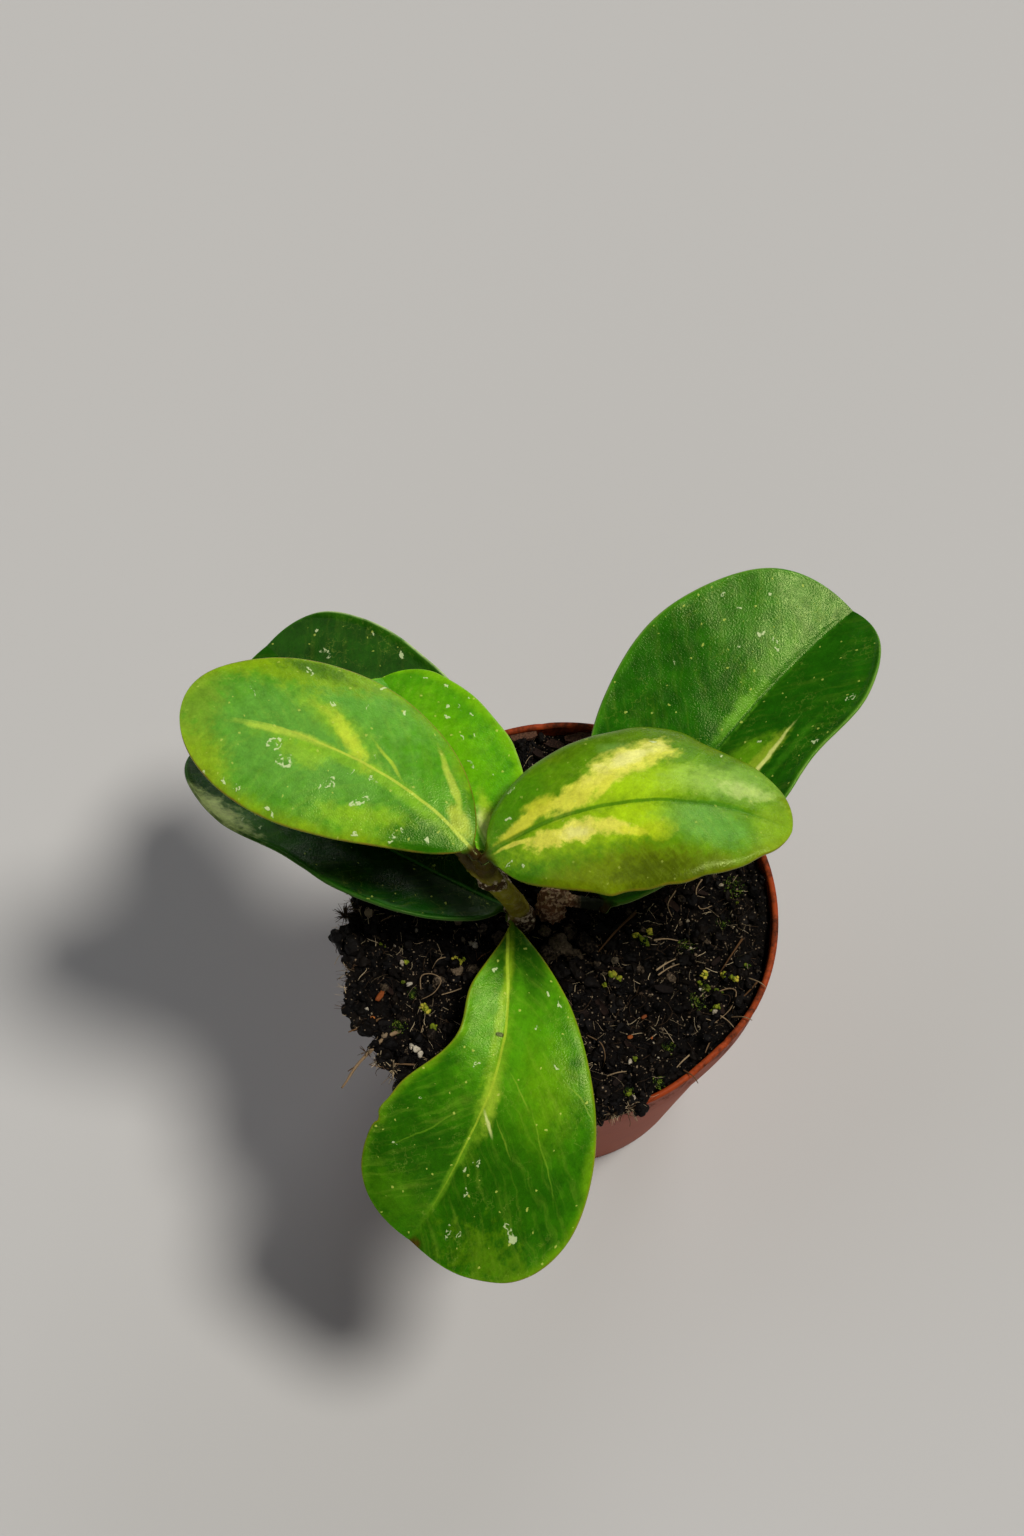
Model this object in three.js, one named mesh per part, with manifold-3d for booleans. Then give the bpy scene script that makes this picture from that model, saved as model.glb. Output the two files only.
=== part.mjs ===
// Potted variegated hoya obovata in a 9 cm terracotta coloured plastic pot.
// Millimetres, +Z up, origin at the middle of the pot's underside, +Y away from the front leaf.

import * as THREE from 'three';
import * as BufferGeometryUtils from 'three/addons/utils/BufferGeometryUtils.js';
import Module from 'manifold-3d';

const wasm = await Module();
wasm.setup();

const DEGREE = Math.PI / 180;
const GAP = 0.3;

// Pot
const POT_HEIGHT = 78;
const RIM_RADIUS = 45;
const FOOT_RADIUS = 31;
const POT_WALL = 1.0;
const RIM_BEAD = 1.4;
const RIM_ROUNDING = 0.4;
const COLLAR_HEIGHT = 9.5;
const COLLAR_STEP = 1.7;
const COLLAR_FLARE = 0.8;
const FLOOR_THICKNESS = 1.4;
const DRAIN_CHANNEL_DEPTH = 1.2;
const CENTRE_PAD_RADIUS = 8;
const FOOT_RING_WIDTH = 3;
const FOOT_ROUNDING = 0.6;
const DRAIN_HOLE_COUNT = 6;
const DRAIN_HOLE_RADIUS = 3.5;
const DRAIN_HOLE_RING = 18;
const DRAIN_HOLE_SIDES = 14;
const POT_SIDES = 72;

// The soft rim is pushed in a little at the front right.
const DENT_DEPTH = 0.9;
const DENT_ANGLE = 312;
const DENT_SPREAD = 15;
const DENT_FROM_HEIGHT = 45;

// Potting mix: lower at the back, heaped over the rim at the left and the front
const MIX_LEVEL = 75.6;
const MIX_HEAP = 4.6;
const MIX_HEAP_ANGLE = 205;
const MIX_SPILL = 5.4;
const MIX_SPILL_THICKNESS = 1.1;
const MIX_SPILL_RAGGEDNESS = 0.12;
const MIX_EDGE_SETBACK = 0.6;
const MIX_BELOW_RIM = 0.5;
const MIX_RELIEF = 0.75;
const MIX_SIDES = 60;
const MIX_RINGS = [0.965, 0.9, 0.8, 0.69, 0.57, 0.45, 0.33, 0.21, 0.1];
const LEFT_SPILL = { from: 174, to: 230, fade: 8 };
const FRONT_SPILL = { from: 274, to: 288, fade: 7 };
const HEAPED_RIM = { from: 164, to: 298, fade: 6 };
const FRONT_SPILL_SHARE = 0.6;
const FRONT_HEAP = { x: 11, y: -44, spreadX: 12, spreadY: 14, height: 1.6 };
const CLOD_COUNT = 46;
const CLOD_SEED = 11;
const CLOD_LEAST = 1.7;
const CLOD_RANGE = 1.5;
const CLODS_WITHIN = 38;

// Stems
const STEM_RADIUS = 2.5;
const STEM_TOP_RADIUS = 2.1;
const ROOT_COLLAR = { at: [-9, -2.2, 81.6], radius: 2.75, height: 4.6 };
const UPPER_NODE = { at: [-15.7, -1.8, 101.2], radius: 2.75, height: 3.4 };
const STEM_PATH = [[-9, -2.2, 66], [-9, -2.2, 80], [-11.7, -2, 91.5], [-15.8, -1.8, 101.5], [-17, -1.2, 106]];
const PETIOLE_RADIUS = 1.35;
const STUB_AT = [-3.1, 0.7];
const STUB_RADIUS = 3.0;
const STUB_TOP = 86.5;
const STUB_LOBE = { at: [-1.1, 1.3, 84.6], radius: 1.7, height: 3.4 };
const ROOT_DEPTH = 66;

// Blades
const BLADE_ALONG = 18;
const BLADE_ACROSS = 8;
const BLADE_THICKNESS = 1.9;
const MARGIN_THICKNESS = 0.85;
const BLADE_START = 0.012;

// Each leaf: base is where the midrib leaves the petiole. heading is the compass direction of the
// midrib, from +X towards +Y, and sweep is how far it turns on its way to the tip. climb is its slope
// at the base and arch is how much that changes. roll lifts the left half, twist adds to it along the
// leaf. fold is the rise of each half at the midrib, cup how much it curls back down by the margin.
// widest is where it is broadest, from 0 at the base to 1 at the tip, and blunt sets how round the tip
// is. uneven makes the left half broader, shift moves its broadest place, and left and right are small
// swellings of the margin at four fifths of the length.
const LEAVES = {
  leaf_top_left: {
    base: [-19.5, 0, 112], heading: 131, sweep: 49, climb: 14, arch: -17, roll: 1, twist: 2,
    length: 67, width: 38.5, widest: 0.59, blunt: 0.48, fold: 1, cup: 17, uneven: 0.02, shift: -0.01,
    left: [-0.5, -0.25, 0, 0], right: [0, -0.25, -0.5, -1], colour: '#5d8f2a',
    stalk: { from: [-17.2, -1.2, 103.5], rise: 3.5, reach: 2 },
  },
  leaf_top_right: {
    base: [-16, -1, 111.5], heading: 26, sweep: -48, climb: 28, arch: -43, roll: -6, twist: -8,
    length: 63.5, width: 40, widest: 0.5, blunt: 0.57, fold: 2, cup: 20, uneven: 0.02, shift: 0.02,
    left: [0, 0, 0.75, -1.75], right: [-1.25, -0.75, -0.25, -0.5], colour: '#a3b52c',
    stalk: { from: [-16.2, -1.6, 102], rise: 4, reach: 1.5 },
  },
  leaf_upper_back: {
    base: [-15.5, 1, 107.5], heading: 114, sweep: 6, climb: -6, arch: -17, roll: 15, twist: -2,
    length: 54, width: 32.5, widest: 0.57, blunt: 0.45, fold: 15, cup: 11, uneven: 0, shift: 0.03,
    left: [-0.25, 0, 0, 0], right: [0.25, -0.25, -1.25, -1.25], colour: '#5f9a1e',
    stalk: { from: [-15.9, -1.4, 101.5], rise: 3, reach: 1.5 },
  },
  leaf_back_right: {
    base: [8.5, -0.5, 85], heading: 55, sweep: -12, climb: 19, arch: -17, roll: -15, twist: 8,
    length: 82.5, width: 53.5, widest: 0.59, blunt: 0.45, fold: 23, cup: 1, uneven: 0.09, shift: 0.01,
    left: [-1.5, -1, -0.5, -1.25], right: [0, 1.5, -1.75, 0.25], colour: '#3f7a1c',
    stalk: { from: [-3.1, 1.2, 83], rise: 2, reach: 2.2 },
  },
  leaf_back_left: {
    base: [-17.5, 12, 83.5], heading: 133, sweep: -1, climb: -2, arch: -8, roll: -11, twist: 1,
    length: 72, width: 45, widest: 0.6, blunt: 0.42, fold: 10, cup: 2, uneven: 0, shift: 0.02,
    left: [0, 0, 0, 0], right: [0, 0, -1, -1], colour: '#2f6a16',
    stalk: { from: [-9.5, -1.8, 82.3], rise: 0, reach: 6 },
  },
  leaf_low_left: {
    base: [-13, -1, 85], heading: 153, sweep: 1, climb: 3, arch: -1, roll: 7, twist: 4,
    length: 74.5, width: 41, widest: 0.55, blunt: 0.49, fold: 24, cup: 1, uneven: 0, shift: -0.05,
    left: [0.25, -0.5, -2.5, 0.75], right: [0, 0, 0, 0], colour: '#1f4d1a',
    stalk: { from: [-10, -2.2, 84.5], rise: 0, reach: 1 },
  },
  leaf_front: {
    base: [-11.5, -4.5, 85], heading: -86, sweep: -46, climb: 9, arch: -48, roll: -5, twist: -1,
    length: 72.5, width: 46.5, widest: 0.74, blunt: 0.39, fold: 10, cup: 16, uneven: 0.2, shift: -0.01,
    left: [-0.25, -0.75, -0.5, 0], right: [1.25, -3, 0.25, 0.25], colour: '#4c8f1f',
    stalk: { from: [-10.2, -2.4, 84.5], rise: 0, reach: 0.8 },
  },
};

function smoothStep(from, to, value) {
  const t = Math.min(1, Math.max(0, (value - from) / (to - from)));
  return t * t * (3 - 2 * t);
}

function seeded(seed) {
  let state = seed;
  return () => {
    state = (state * 1664525 + 1013904223) % 4294967296;
    return state / 4294967296;
  };
}

// A closed mesh with shared vertices and no collapsed triangles.
function weld(geometry) {
  const bare = geometry.clone();
  bare.deleteAttribute('normal');
  bare.deleteAttribute('uv');
  const merged = BufferGeometryUtils.mergeVertices(bare, 1e-4);
  const kept = [];
  const index = merged.index.array;
  for (let i = 0; i < index.length; i += 3) {
    const [a, b, c] = [index[i], index[i + 1], index[i + 2]];
    if (a !== b && b !== c && c !== a) kept.push(a, b, c);
  }
  merged.setIndex(kept);
  return merged;
}

function solidOf(geometry) {
  const welded = weld(geometry);
  const vertProperties = new Float32Array(welded.attributes.position.array);
  const triVerts = new Uint32Array(welded.index.array);
  return new wasm.Manifold(new wasm.Mesh({ numProp: 3, vertProperties, triVerts }));
}

function geometryOf(solid) {
  const mesh = solid.getMesh();
  const geometry = new THREE.BufferGeometry();
  geometry.setAttribute('position', new THREE.BufferAttribute(new Float32Array(mesh.vertProperties), 3));
  geometry.setIndex(new THREE.BufferAttribute(new Uint32Array(mesh.triVerts), 1));
  return geometry;
}

function joined(solids) {
  return solids.reduce((sum, solid) => sum.add(solid));
}

function part(name, geometry, colour, roughness) {
  geometry.computeVertexNormals();
  const material = new THREE.MeshStandardMaterial({ color: colour, roughness, metalness: 0 });
  const mesh = new THREE.Mesh(geometry, material);
  mesh.name = name;
  return mesh;
}

// A round rod along a curve, closed at both ends; radiusAt gives its radius from 0 to 1 along it.
function rod(curve, radiusAt, sides, steps) {
  const cylinder = weld(new THREE.CylinderGeometry(1, 1, 1, sides, steps));
  const frames = curve.computeFrenetFrames(steps, false);
  const position = cylinder.attributes.position;
  const point = new THREE.Vector3();
  for (let i = 0; i < position.count; i += 1) {
    const t = position.getY(i) + 0.5;
    const step = Math.round(t * steps);
    const radius = radiusAt(t);
    point.copy(curve.getPointAt(t));
    point.addScaledVector(frames.normals[step], radius * position.getZ(i));
    point.addScaledVector(frames.binormals[step], radius * position.getX(i));
    position.setXYZ(i, point.x, point.y, point.z);
  }
  return cylinder;
}

// How far the soft wall is pushed in, at a place on it.
function dentAt(angle, z) {
  const off = (((angle / DEGREE - DENT_ANGLE) % 360) + 540) % 360 - 180;
  return DENT_DEPTH * Math.exp(-((off / DENT_SPREAD) ** 2)) * smoothStep(DENT_FROM_HEIGHT, POT_HEIGHT, z);
}

function pushIn(geometry) {
  const position = geometry.attributes.position;
  for (let i = 0; i < position.count; i += 1) {
    const [x, y, z] = [position.getX(i), position.getY(i), position.getZ(i)];
    const radius = Math.hypot(x, y);
    if (radius < 1) continue;
    const dent = dentAt(Math.atan2(y, x), z) * Math.min(1, (radius / RIM_RADIUS) ** 2);
    const scale = (radius - dent) / radius;
    position.setXYZ(i, x * scale, y * scale, z);
  }
  return geometry;
}

// Where the collar starts, the outer radius of the wall below it, and the floor's radius inside.
const COLLAR_FOOT = POT_HEIGHT - COLLAR_HEIGHT;
const UNDER_COLLAR_RADIUS = RIM_RADIUS - COLLAR_FLARE - COLLAR_STEP;
const FLOOR_RADIUS = FOOT_RADIUS + FOOT_ROUNDING - POT_WALL;

function potGeometry() {
  const channelInner = CENTRE_PAD_RADIUS + DRAIN_CHANNEL_DEPTH;
  const channelOuter = FOOT_RADIUS - FOOT_RING_WIDTH;
  const floorTop = DRAIN_CHANNEL_DEPTH + FLOOR_THICKNESS;
  const collarOuter = RIM_RADIUS - COLLAR_FLARE;
  const beadInner = RIM_RADIUS - RIM_BEAD;
  const profile = [
    [0, 0], [CENTRE_PAD_RADIUS, 0], [channelInner, DRAIN_CHANNEL_DEPTH],
    [channelOuter - DRAIN_CHANNEL_DEPTH, DRAIN_CHANNEL_DEPTH], [channelOuter, 0],
    [FOOT_RADIUS, 0], [FOOT_RADIUS + FOOT_ROUNDING, 1],
    [UNDER_COLLAR_RADIUS, COLLAR_FOOT - 1.2], [collarOuter, COLLAR_FOOT],
    [RIM_RADIUS - RIM_ROUNDING, POT_HEIGHT - 1.6], [RIM_RADIUS, POT_HEIGHT - 1],
    [RIM_RADIUS, POT_HEIGHT - RIM_ROUNDING], [RIM_RADIUS - RIM_ROUNDING, POT_HEIGHT],
    [beadInner + RIM_ROUNDING, POT_HEIGHT], [beadInner, POT_HEIGHT - RIM_ROUNDING],
    [collarOuter - POT_WALL, COLLAR_FOOT + 0.4], [UNDER_COLLAR_RADIUS - POT_WALL, COLLAR_FOOT - 0.9],
    [FLOOR_RADIUS, floorTop], [0, floorTop],
  ].map(([radius, height]) => new THREE.Vector2(radius, height));
  const lathe = new THREE.LatheGeometry(profile, POT_SIDES);
  lathe.rotateX(Math.PI / 2);
  let solid = solidOf(lathe);
  for (let i = 0; i < DRAIN_HOLE_COUNT; i += 1) {
    const angle = (i + 0.5) * 2 * Math.PI / DRAIN_HOLE_COUNT;
    const hole = new THREE.CylinderGeometry(DRAIN_HOLE_RADIUS, DRAIN_HOLE_RADIUS, 4 * floorTop, DRAIN_HOLE_SIDES);
    hole.rotateX(Math.PI / 2);
    hole.translate(DRAIN_HOLE_RING * Math.cos(angle), DRAIN_HOLE_RING * Math.sin(angle), 0);
    solid = solid.subtract(solidOf(hole));
  }
  return pushIn(geometryOf(solid));
}

function inSector(angle, sector) {
  const degrees = ((angle / DEGREE) % 360 + 360) % 360;
  const rising = smoothStep(sector.from - sector.fade, sector.from, degrees);
  return rising * (1 - smoothStep(sector.to, sector.to + sector.fade, degrees));
}

function reliefAt(x, y) {
  const broad = Math.sin(0.31 * x + 1.2) * Math.sin(0.27 * y + 0.4);
  const fine = Math.sin(0.83 * x - 0.42 * y) * Math.sin(0.71 * y + 0.38 * x + 2.1);
  return MIX_RELIEF * (broad + 0.7 * fine);
}

// Height of the mix, which is heaped towards the left and front left.
function mixHeightAt(x, y) {
  const towardsHeap = x * Math.cos(MIX_HEAP_ANGLE * DEGREE) + y * Math.sin(MIX_HEAP_ANGLE * DEGREE);
  const offX = (x - FRONT_HEAP.x) / FRONT_HEAP.spreadX;
  const offY = (y - FRONT_HEAP.y) / FRONT_HEAP.spreadY;
  const frontHeap = FRONT_HEAP.height * Math.exp(-(offX ** 2) - offY ** 2);
  return MIX_LEVEL + MIX_HEAP * smoothStep(-14, 42, towardsHeap) + frontHeap + reliefAt(x, y);
}

function mixGeometry() {
  const wallFoot = [FLOOR_RADIUS - GAP, DRAIN_CHANNEL_DEPTH + FLOOR_THICKNESS + GAP];
  const wallTop = [UNDER_COLLAR_RADIUS - POT_WALL - GAP, COLLAR_FOOT - 0.8];
  const collarTop = [RIM_RADIUS - COLLAR_FLARE - POT_WALL - GAP, COLLAR_FOOT + 0.8];
  const insideRim = RIM_RADIUS - RIM_BEAD - GAP - 0.1;
  const overRim = POT_HEIGHT + GAP + 0.1;
  const rows = 8 + MIX_RINGS.length;
  const onAxis = (j) => j === 0 || j === rows - 1;
  const profile = Array.from({ length: rows }, (_, j) => new THREE.Vector2(onAxis(j) ? 0 : 10, j));
  const lathe = new THREE.LatheGeometry(profile, MIX_SIDES);
  lathe.rotateX(Math.PI / 2);
  const position = lathe.attributes.position;
  for (let i = 0; i <= MIX_SIDES; i += 1) {
    const angle = (i % MIX_SIDES) * 2 * Math.PI / MIX_SIDES;
    const [cosine, sine] = [Math.cos(angle), Math.sin(angle)];
    const heaped = inSector(angle, HEAPED_RIM);
    const frontShare = FRONT_SPILL_SHARE * inSector(angle, FRONT_SPILL);
    const spill = MIX_SPILL * Math.max(inSector(angle, LEFT_SPILL), frontShare);
    const ragged = spill * MIX_SPILL_RAGGEDNESS * Math.sin(11 * angle) * Math.sin(4 * angle + 1);
    const edgeRadius = insideRim - MIX_EDGE_SETBACK * (1 - heaped) + spill + ragged;
    const atRim = mixHeightAt(insideRim * cosine, insideRim * sine);
    const sunken = Math.min(atRim, POT_HEIGHT - MIX_BELOW_RIM);
    const top = THREE.MathUtils.lerp(sunken, overRim + MIX_SPILL_THICKNESS, heaped);
    const under = THREE.MathUtils.lerp(top - 0.8, overRim, heaped);
    const ring = [
      [0, wallFoot[1]], wallFoot, wallTop, collarTop, [insideRim, under],
      [edgeRadius, under], [edgeRadius + 0.25, (under + top) / 2 + 0.1],
    ];
    MIX_RINGS.forEach((fraction) => {
      const radius = edgeRadius * fraction;
      const height = mixHeightAt(radius * cosine, radius * sine);
      const nearEdge = smoothStep(0.8, 1, fraction);
      ring.push([radius, THREE.MathUtils.lerp(height, Math.max(height, top), nearEdge)]);
    });
    ring.push([0, mixHeightAt(0, 0)]);
    ring.forEach(([radius, height], j) => {
      position.setXYZ(i * rows + j, radius * cosine, radius * sine, height);
    });
  }
  return pushIn(lathe);
}

// Clods of peat and chips of bark, sunk well into the mix.
function clods() {
  const random = seeded(CLOD_SEED);
  const solids = [];
  while (solids.length < CLOD_COUNT) {
    const angle = random() * 2 * Math.PI;
    const radius = CLODS_WITHIN * Math.sqrt(random());
    const size = CLOD_LEAST + CLOD_RANGE * random();
    const long = 1 + 0.8 * random();
    const turn = random() * Math.PI;
    const [x, y] = [radius * Math.cos(angle), radius * Math.sin(angle)];
    const underLeaf = y < 0 && Math.abs(x + 13 + 0.1 * y) < 10;
    const nearStems = Math.hypot(x + 6, y + 0.5) < 12;
    if (underLeaf || nearStems) continue;
    const clod = new THREE.IcosahedronGeometry(size, 0);
    clod.scale(long, 1, 0.8);
    clod.rotateZ(turn);
    clod.translate(x, y, mixHeightAt(x, y) - 0.2 * size);
    solids.push(solidOf(clod));
  }
  return solids;
}

// Roots that stick out of the mix past the rim, and two that arch over it.
const ROOTS = [
  { radius: 0.75, points: [[-33, -25, 78.9], [-38.5, -30, 80], [-42, -33.6, 80.2], [-45.4, -37.6, 79]] },
  { radius: 0.6, points: [[-39, -23, 79.2], [-42, -26, 80.2], [-46, -27.2, 80.3]] },
  { radius: 0.7, points: [[10, 4.5, 75.5], [13.5, 0, 77.8], [7.5, -8.5, 77.6], [5, -11, 75.5]] },
  { radius: 0.6, points: [[36, -7, 75], [36, -6.4, 77.4], [31.5, -13, 77.6], [31, -14, 75]] },
];

function roots() {
  return ROOTS.map(({ radius, points }) => {
    const curve = new THREE.CatmullRomCurve3(points.map((point) => new THREE.Vector3(...point)));
    return solidOf(rod(curve, (t) => radius * (1 - 0.35 * t), 5, 6));
  });
}

function uprightHole(x, y, radius, from, to) {
  const hole = new THREE.CylinderGeometry(radius, radius, to - from, 20);
  hole.rotateX(Math.PI / 2);
  hole.translate(x, y, (from + to) / 2);
  return solidOf(hole);
}

function pottingMix() {
  let solid = joined([solidOf(mixGeometry()), ...clods(), ...roots()]);
  const [stemX, stemY] = STEM_PATH[0];
  const [stubX, stubY] = STUB_AT;
  const holeFloor = ROOT_DEPTH - GAP;
  const aboveMix = POT_HEIGHT + 20;
  solid = solid.subtract(uprightHole(stemX, stemY, STEM_RADIUS + GAP, holeFloor, aboveMix));
  solid = solid.subtract(uprightHole(stemX, stemY, ROOT_COLLAR.radius + GAP, POT_HEIGHT - 1, aboveMix));
  solid = solid.subtract(uprightHole(stubX, stubY, STUB_RADIUS + GAP, holeFloor, aboveMix));
  return geometryOf(solid);
}

// Half width of a blade at s, from 0 at the base to 1 at the tip; side is 1 left, -1 right.
function halfWidth(leaf, s, side) {
  const widest = leaf.widest + leaf.shift * side;
  const taper = widest * leaf.blunt / (1 - widest);
  const outline = (s / widest) ** taper * ((1 - s) / (1 - widest)) ** leaf.blunt;
  const swellings = side > 0 ? leaf.left : leaf.right;
  const swell = swellings.reduce((sum, amount, i) => {
    const away = Math.min(1, Math.abs(s - 0.2 * (i + 1)) / 0.2);
    return sum + amount * Math.cos(Math.PI / 2 * away) ** 2;
  }, 0);
  return Math.max(0, leaf.width / 2 * outline * (1 + leaf.uneven * side) + swell);
}

function midribDirection(leaf, s) {
  const slope = (leaf.climb + leaf.arch * s) * DEGREE;
  const heading = (leaf.heading + leaf.sweep * s) * DEGREE;
  return new THREE.Vector3(
    Math.cos(slope) * Math.cos(heading), Math.cos(slope) * Math.sin(heading), Math.sin(slope));
}

function midribPoint(leaf, s) {
  const steps = 60;
  const point = new THREE.Vector3(...leaf.base);
  for (let i = 0; i < steps; i += 1) {
    point.addScaledVector(midribDirection(leaf, s * (i + 0.5) / steps), leaf.length * s / steps);
  }
  return point;
}

// A place on the blade: s along it, v across it from -1 at the right margin to 1 at the left.
function bladePoint(leaf, s, v) {
  const along = midribDirection(leaf, s);
  const heading = (leaf.heading + leaf.sweep * s) * DEGREE;
  const level = new THREE.Vector3(-Math.sin(heading), Math.cos(heading), 0);
  const roll = (leaf.roll + leaf.twist * s) * DEGREE;
  const left = level.clone().applyAxisAngle(along, roll);
  const up = new THREE.Vector3().crossVectors(along, left);
  const side = Math.sign(v);
  const fromMidrib = Math.abs(v) * halfWidth(leaf, s, side || 1);
  const curl = leaf.cup * DEGREE / (leaf.width / 2);
  const fold = leaf.fold * DEGREE;
  const slope = fold - curl * fromMidrib;
  const across = (Math.sin(fold) - Math.sin(slope)) / curl;
  const rise = (Math.cos(slope) - Math.cos(fold)) / curl;
  const point = midribPoint(leaf, s);
  point.addScaledVector(left, side * across).addScaledVector(up, rise);
  const tilt = s < 1 && side !== 0 ? slope : 0;
  const normal = up.multiplyScalar(Math.cos(tilt)).addScaledVector(left, -side * Math.sin(tilt));
  return { point, normal };
}

function thicknessAt(s, v) {
  const towardsTip = Math.sqrt(Math.min(1, (1 - s) / 0.12));
  return MARGIN_THICKNESS + (BLADE_THICKNESS - MARGIN_THICKNESS) * (1 - Math.abs(v) ** 3) * towardsTip;
}

// A blade: an upper and a lower face triangulated alike, and the margin between them.
function bladeGeometry(leaf) {
  const grid = new THREE.PlaneGeometry(2, 1, BLADE_ACROSS, BLADE_ALONG);
  const count = grid.attributes.position.count;
  const positions = new Float32Array(count * 6);
  for (let i = 0; i < count; i += 1) {
    const v = -grid.attributes.position.getX(i);
    const fraction = 0.5 + grid.attributes.position.getY(i);
    const eased = (1 - Math.cos(Math.PI * fraction)) / 2;
    const s = fraction >= 1 ? 1 : BLADE_START + (1 - BLADE_START) * eased;
    const { point, normal } = bladePoint(leaf, s, v);
    point.toArray(positions, 3 * i);
    point.addScaledVector(normal, -thicknessAt(s, v)).toArray(positions, 3 * (count + i));
  }
  const index = [];
  const top = grid.index.array;
  for (let i = 0; i < top.length; i += 3) {
    index.push(top[i], top[i + 1], top[i + 2]);
    index.push(top[i] + count, top[i + 2] + count, top[i + 1] + count);
  }
  const columns = BLADE_ACROSS + 1;
  const edge = [];
  for (let i = 0; i < BLADE_ACROSS; i += 1) edge.push(i);
  for (let j = 0; j < BLADE_ALONG; j += 1) edge.push(j * columns + BLADE_ACROSS);
  for (let i = BLADE_ACROSS; i > 0; i -= 1) edge.push(BLADE_ALONG * columns + i);
  for (let j = BLADE_ALONG; j > 0; j -= 1) edge.push(j * columns);
  edge.forEach((a, i) => {
    const b = edge[(i + 1) % edge.length];
    index.push(a, b, b + count, a, b + count, a + count);
  });
  const geometry = new THREE.BufferGeometry();
  geometry.setAttribute('position', new THREE.BufferAttribute(positions, 3));
  geometry.setIndex(index);
  return weld(geometry);
}

// A petiole from the stem to just short of the blade, turning into line with the midrib.
function petiole(leaf) {
  const { from, rise, reach } = leaf.stalk;
  const start = new THREE.Vector3(...from);
  const direction = midribDirection(leaf, 0);
  const middle = thicknessAt(0.5, 0) / 2;
  const end = midribPoint(leaf, BLADE_START).addScaledVector(direction, -GAP - 0.1);
  end.z -= middle;
  const before = end.clone().addScaledVector(direction, -reach);
  const leaving = start.clone().add(new THREE.Vector3(0, 0, rise));
  const curve = new THREE.CubicBezierCurve3(start, leaving, before, end);
  return solidOf(rod(curve, (t) => PETIOLE_RADIUS * (1 - 0.25 * smoothStep(0.6, 1, t)), 8, 6));
}

function swelling({ at, radius, height }) {
  const ball = new THREE.IcosahedronGeometry(radius, 1);
  ball.scale(1, 1, height / (2 * radius));
  ball.translate(...at);
  return solidOf(ball);
}

function mainStem() {
  const curve = new THREE.CatmullRomCurve3(STEM_PATH.map((point) => new THREE.Vector3(...point)));
  const taper = (t) => THREE.MathUtils.lerp(STEM_RADIUS, STEM_TOP_RADIUS, t);
  const trunk = solidOf(rod(curve, taper, 12, 14));
  const nodes = [swelling(ROOT_COLLAR), swelling(UPPER_NODE)];
  const carried = Object.entries(LEAVES).filter(([name]) => name !== 'leaf_back_right');
  return geometryOf(joined([trunk, ...nodes, ...carried.map(([, leaf]) => petiole(leaf))]));
}

// The cut stub of an older stem, lumpy and woody, which carries the leaf at the back right.
function woodyStub() {
  const [x, y] = STUB_AT;
  const curve = new THREE.LineCurve3(new THREE.Vector3(x, y, ROOT_DEPTH), new THREE.Vector3(x, y, STUB_TOP));
  const outline = (t) => {
    const z = THREE.MathUtils.lerp(ROOT_DEPTH, STUB_TOP, t);
    const shoulder = Math.sqrt(Math.max(0.16, 1 - smoothStep(STUB_TOP - 3, STUB_TOP + 0.4, z)));
    return (STUB_RADIUS - 0.15 + 0.15 * Math.sin(z * 1.4)) * shoulder;
  };
  const body = solidOf(rod(curve, outline, 12, 14));
  return geometryOf(joined([body, swelling(STUB_LOBE), petiole(LEAVES.leaf_back_right)]));
}

const group = new THREE.Group();
group.add(part('pot', potGeometry(), '#b5573a', 0.45));
group.add(part('potting_mix', pottingMix(), '#17110d', 0.95));
group.add(part('main_stem', mainStem(), '#5b4a22', 0.55));
group.add(part('woody_stub', woodyStub(), '#4a3424', 0.8));
Object.entries(LEAVES).forEach(([name, leaf]) => {
  group.add(part(name, bladeGeometry(leaf), leaf.colour, 0.4));
});

export default group;
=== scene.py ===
"""A potted hoya with streaked leaves: its looks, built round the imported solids. Metres, +Z up."""

import logging
import math
import random
from collections.abc import Callable, Iterable
from dataclasses import dataclass
from enum import Enum

import bmesh
import bpy
from mathutils import Matrix, Vector, noise


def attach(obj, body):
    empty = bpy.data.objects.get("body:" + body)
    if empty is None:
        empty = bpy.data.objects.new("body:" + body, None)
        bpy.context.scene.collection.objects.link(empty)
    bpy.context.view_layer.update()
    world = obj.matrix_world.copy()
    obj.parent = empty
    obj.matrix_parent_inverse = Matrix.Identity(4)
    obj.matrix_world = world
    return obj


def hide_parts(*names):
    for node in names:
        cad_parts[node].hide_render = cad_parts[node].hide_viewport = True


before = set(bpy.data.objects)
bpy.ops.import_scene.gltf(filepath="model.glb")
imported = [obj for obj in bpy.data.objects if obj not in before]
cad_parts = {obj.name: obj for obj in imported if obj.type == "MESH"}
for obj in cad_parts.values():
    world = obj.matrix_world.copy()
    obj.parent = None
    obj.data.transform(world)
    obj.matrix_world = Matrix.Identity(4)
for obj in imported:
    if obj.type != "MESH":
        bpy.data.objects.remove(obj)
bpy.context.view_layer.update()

LOG = logging.getLogger("hoya")
MM = 0.001
BODY = "root"
SMOOTH = {"interpolation_type": "SMOOTHSTEP"}
Socket = bpy.types.NodeSocket

# Driving lengths, in millimetres, the same as the solids'.
POT_HEIGHT = 78.0
RIM_RADIUS = 45.0
FOOT_RADIUS = 31.0
POT_WALL = 1.0
RIM_BEAD = 1.4
COLLAR_FOOT = 68.5
UNDER_COLLAR_RADIUS = 42.5
COLLAR_OUTER = 44.2
FLOOR_TOP = 2.6
CHANNEL_DEPTH = 1.2
CLEARANCE = 0.3

# Vertices nearer than this are one, in metres.
WELD = 1e-6
# How far along the midrib a side vein runs for each millimetre outwards.
VEIN_SLANT = 0.9
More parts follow.
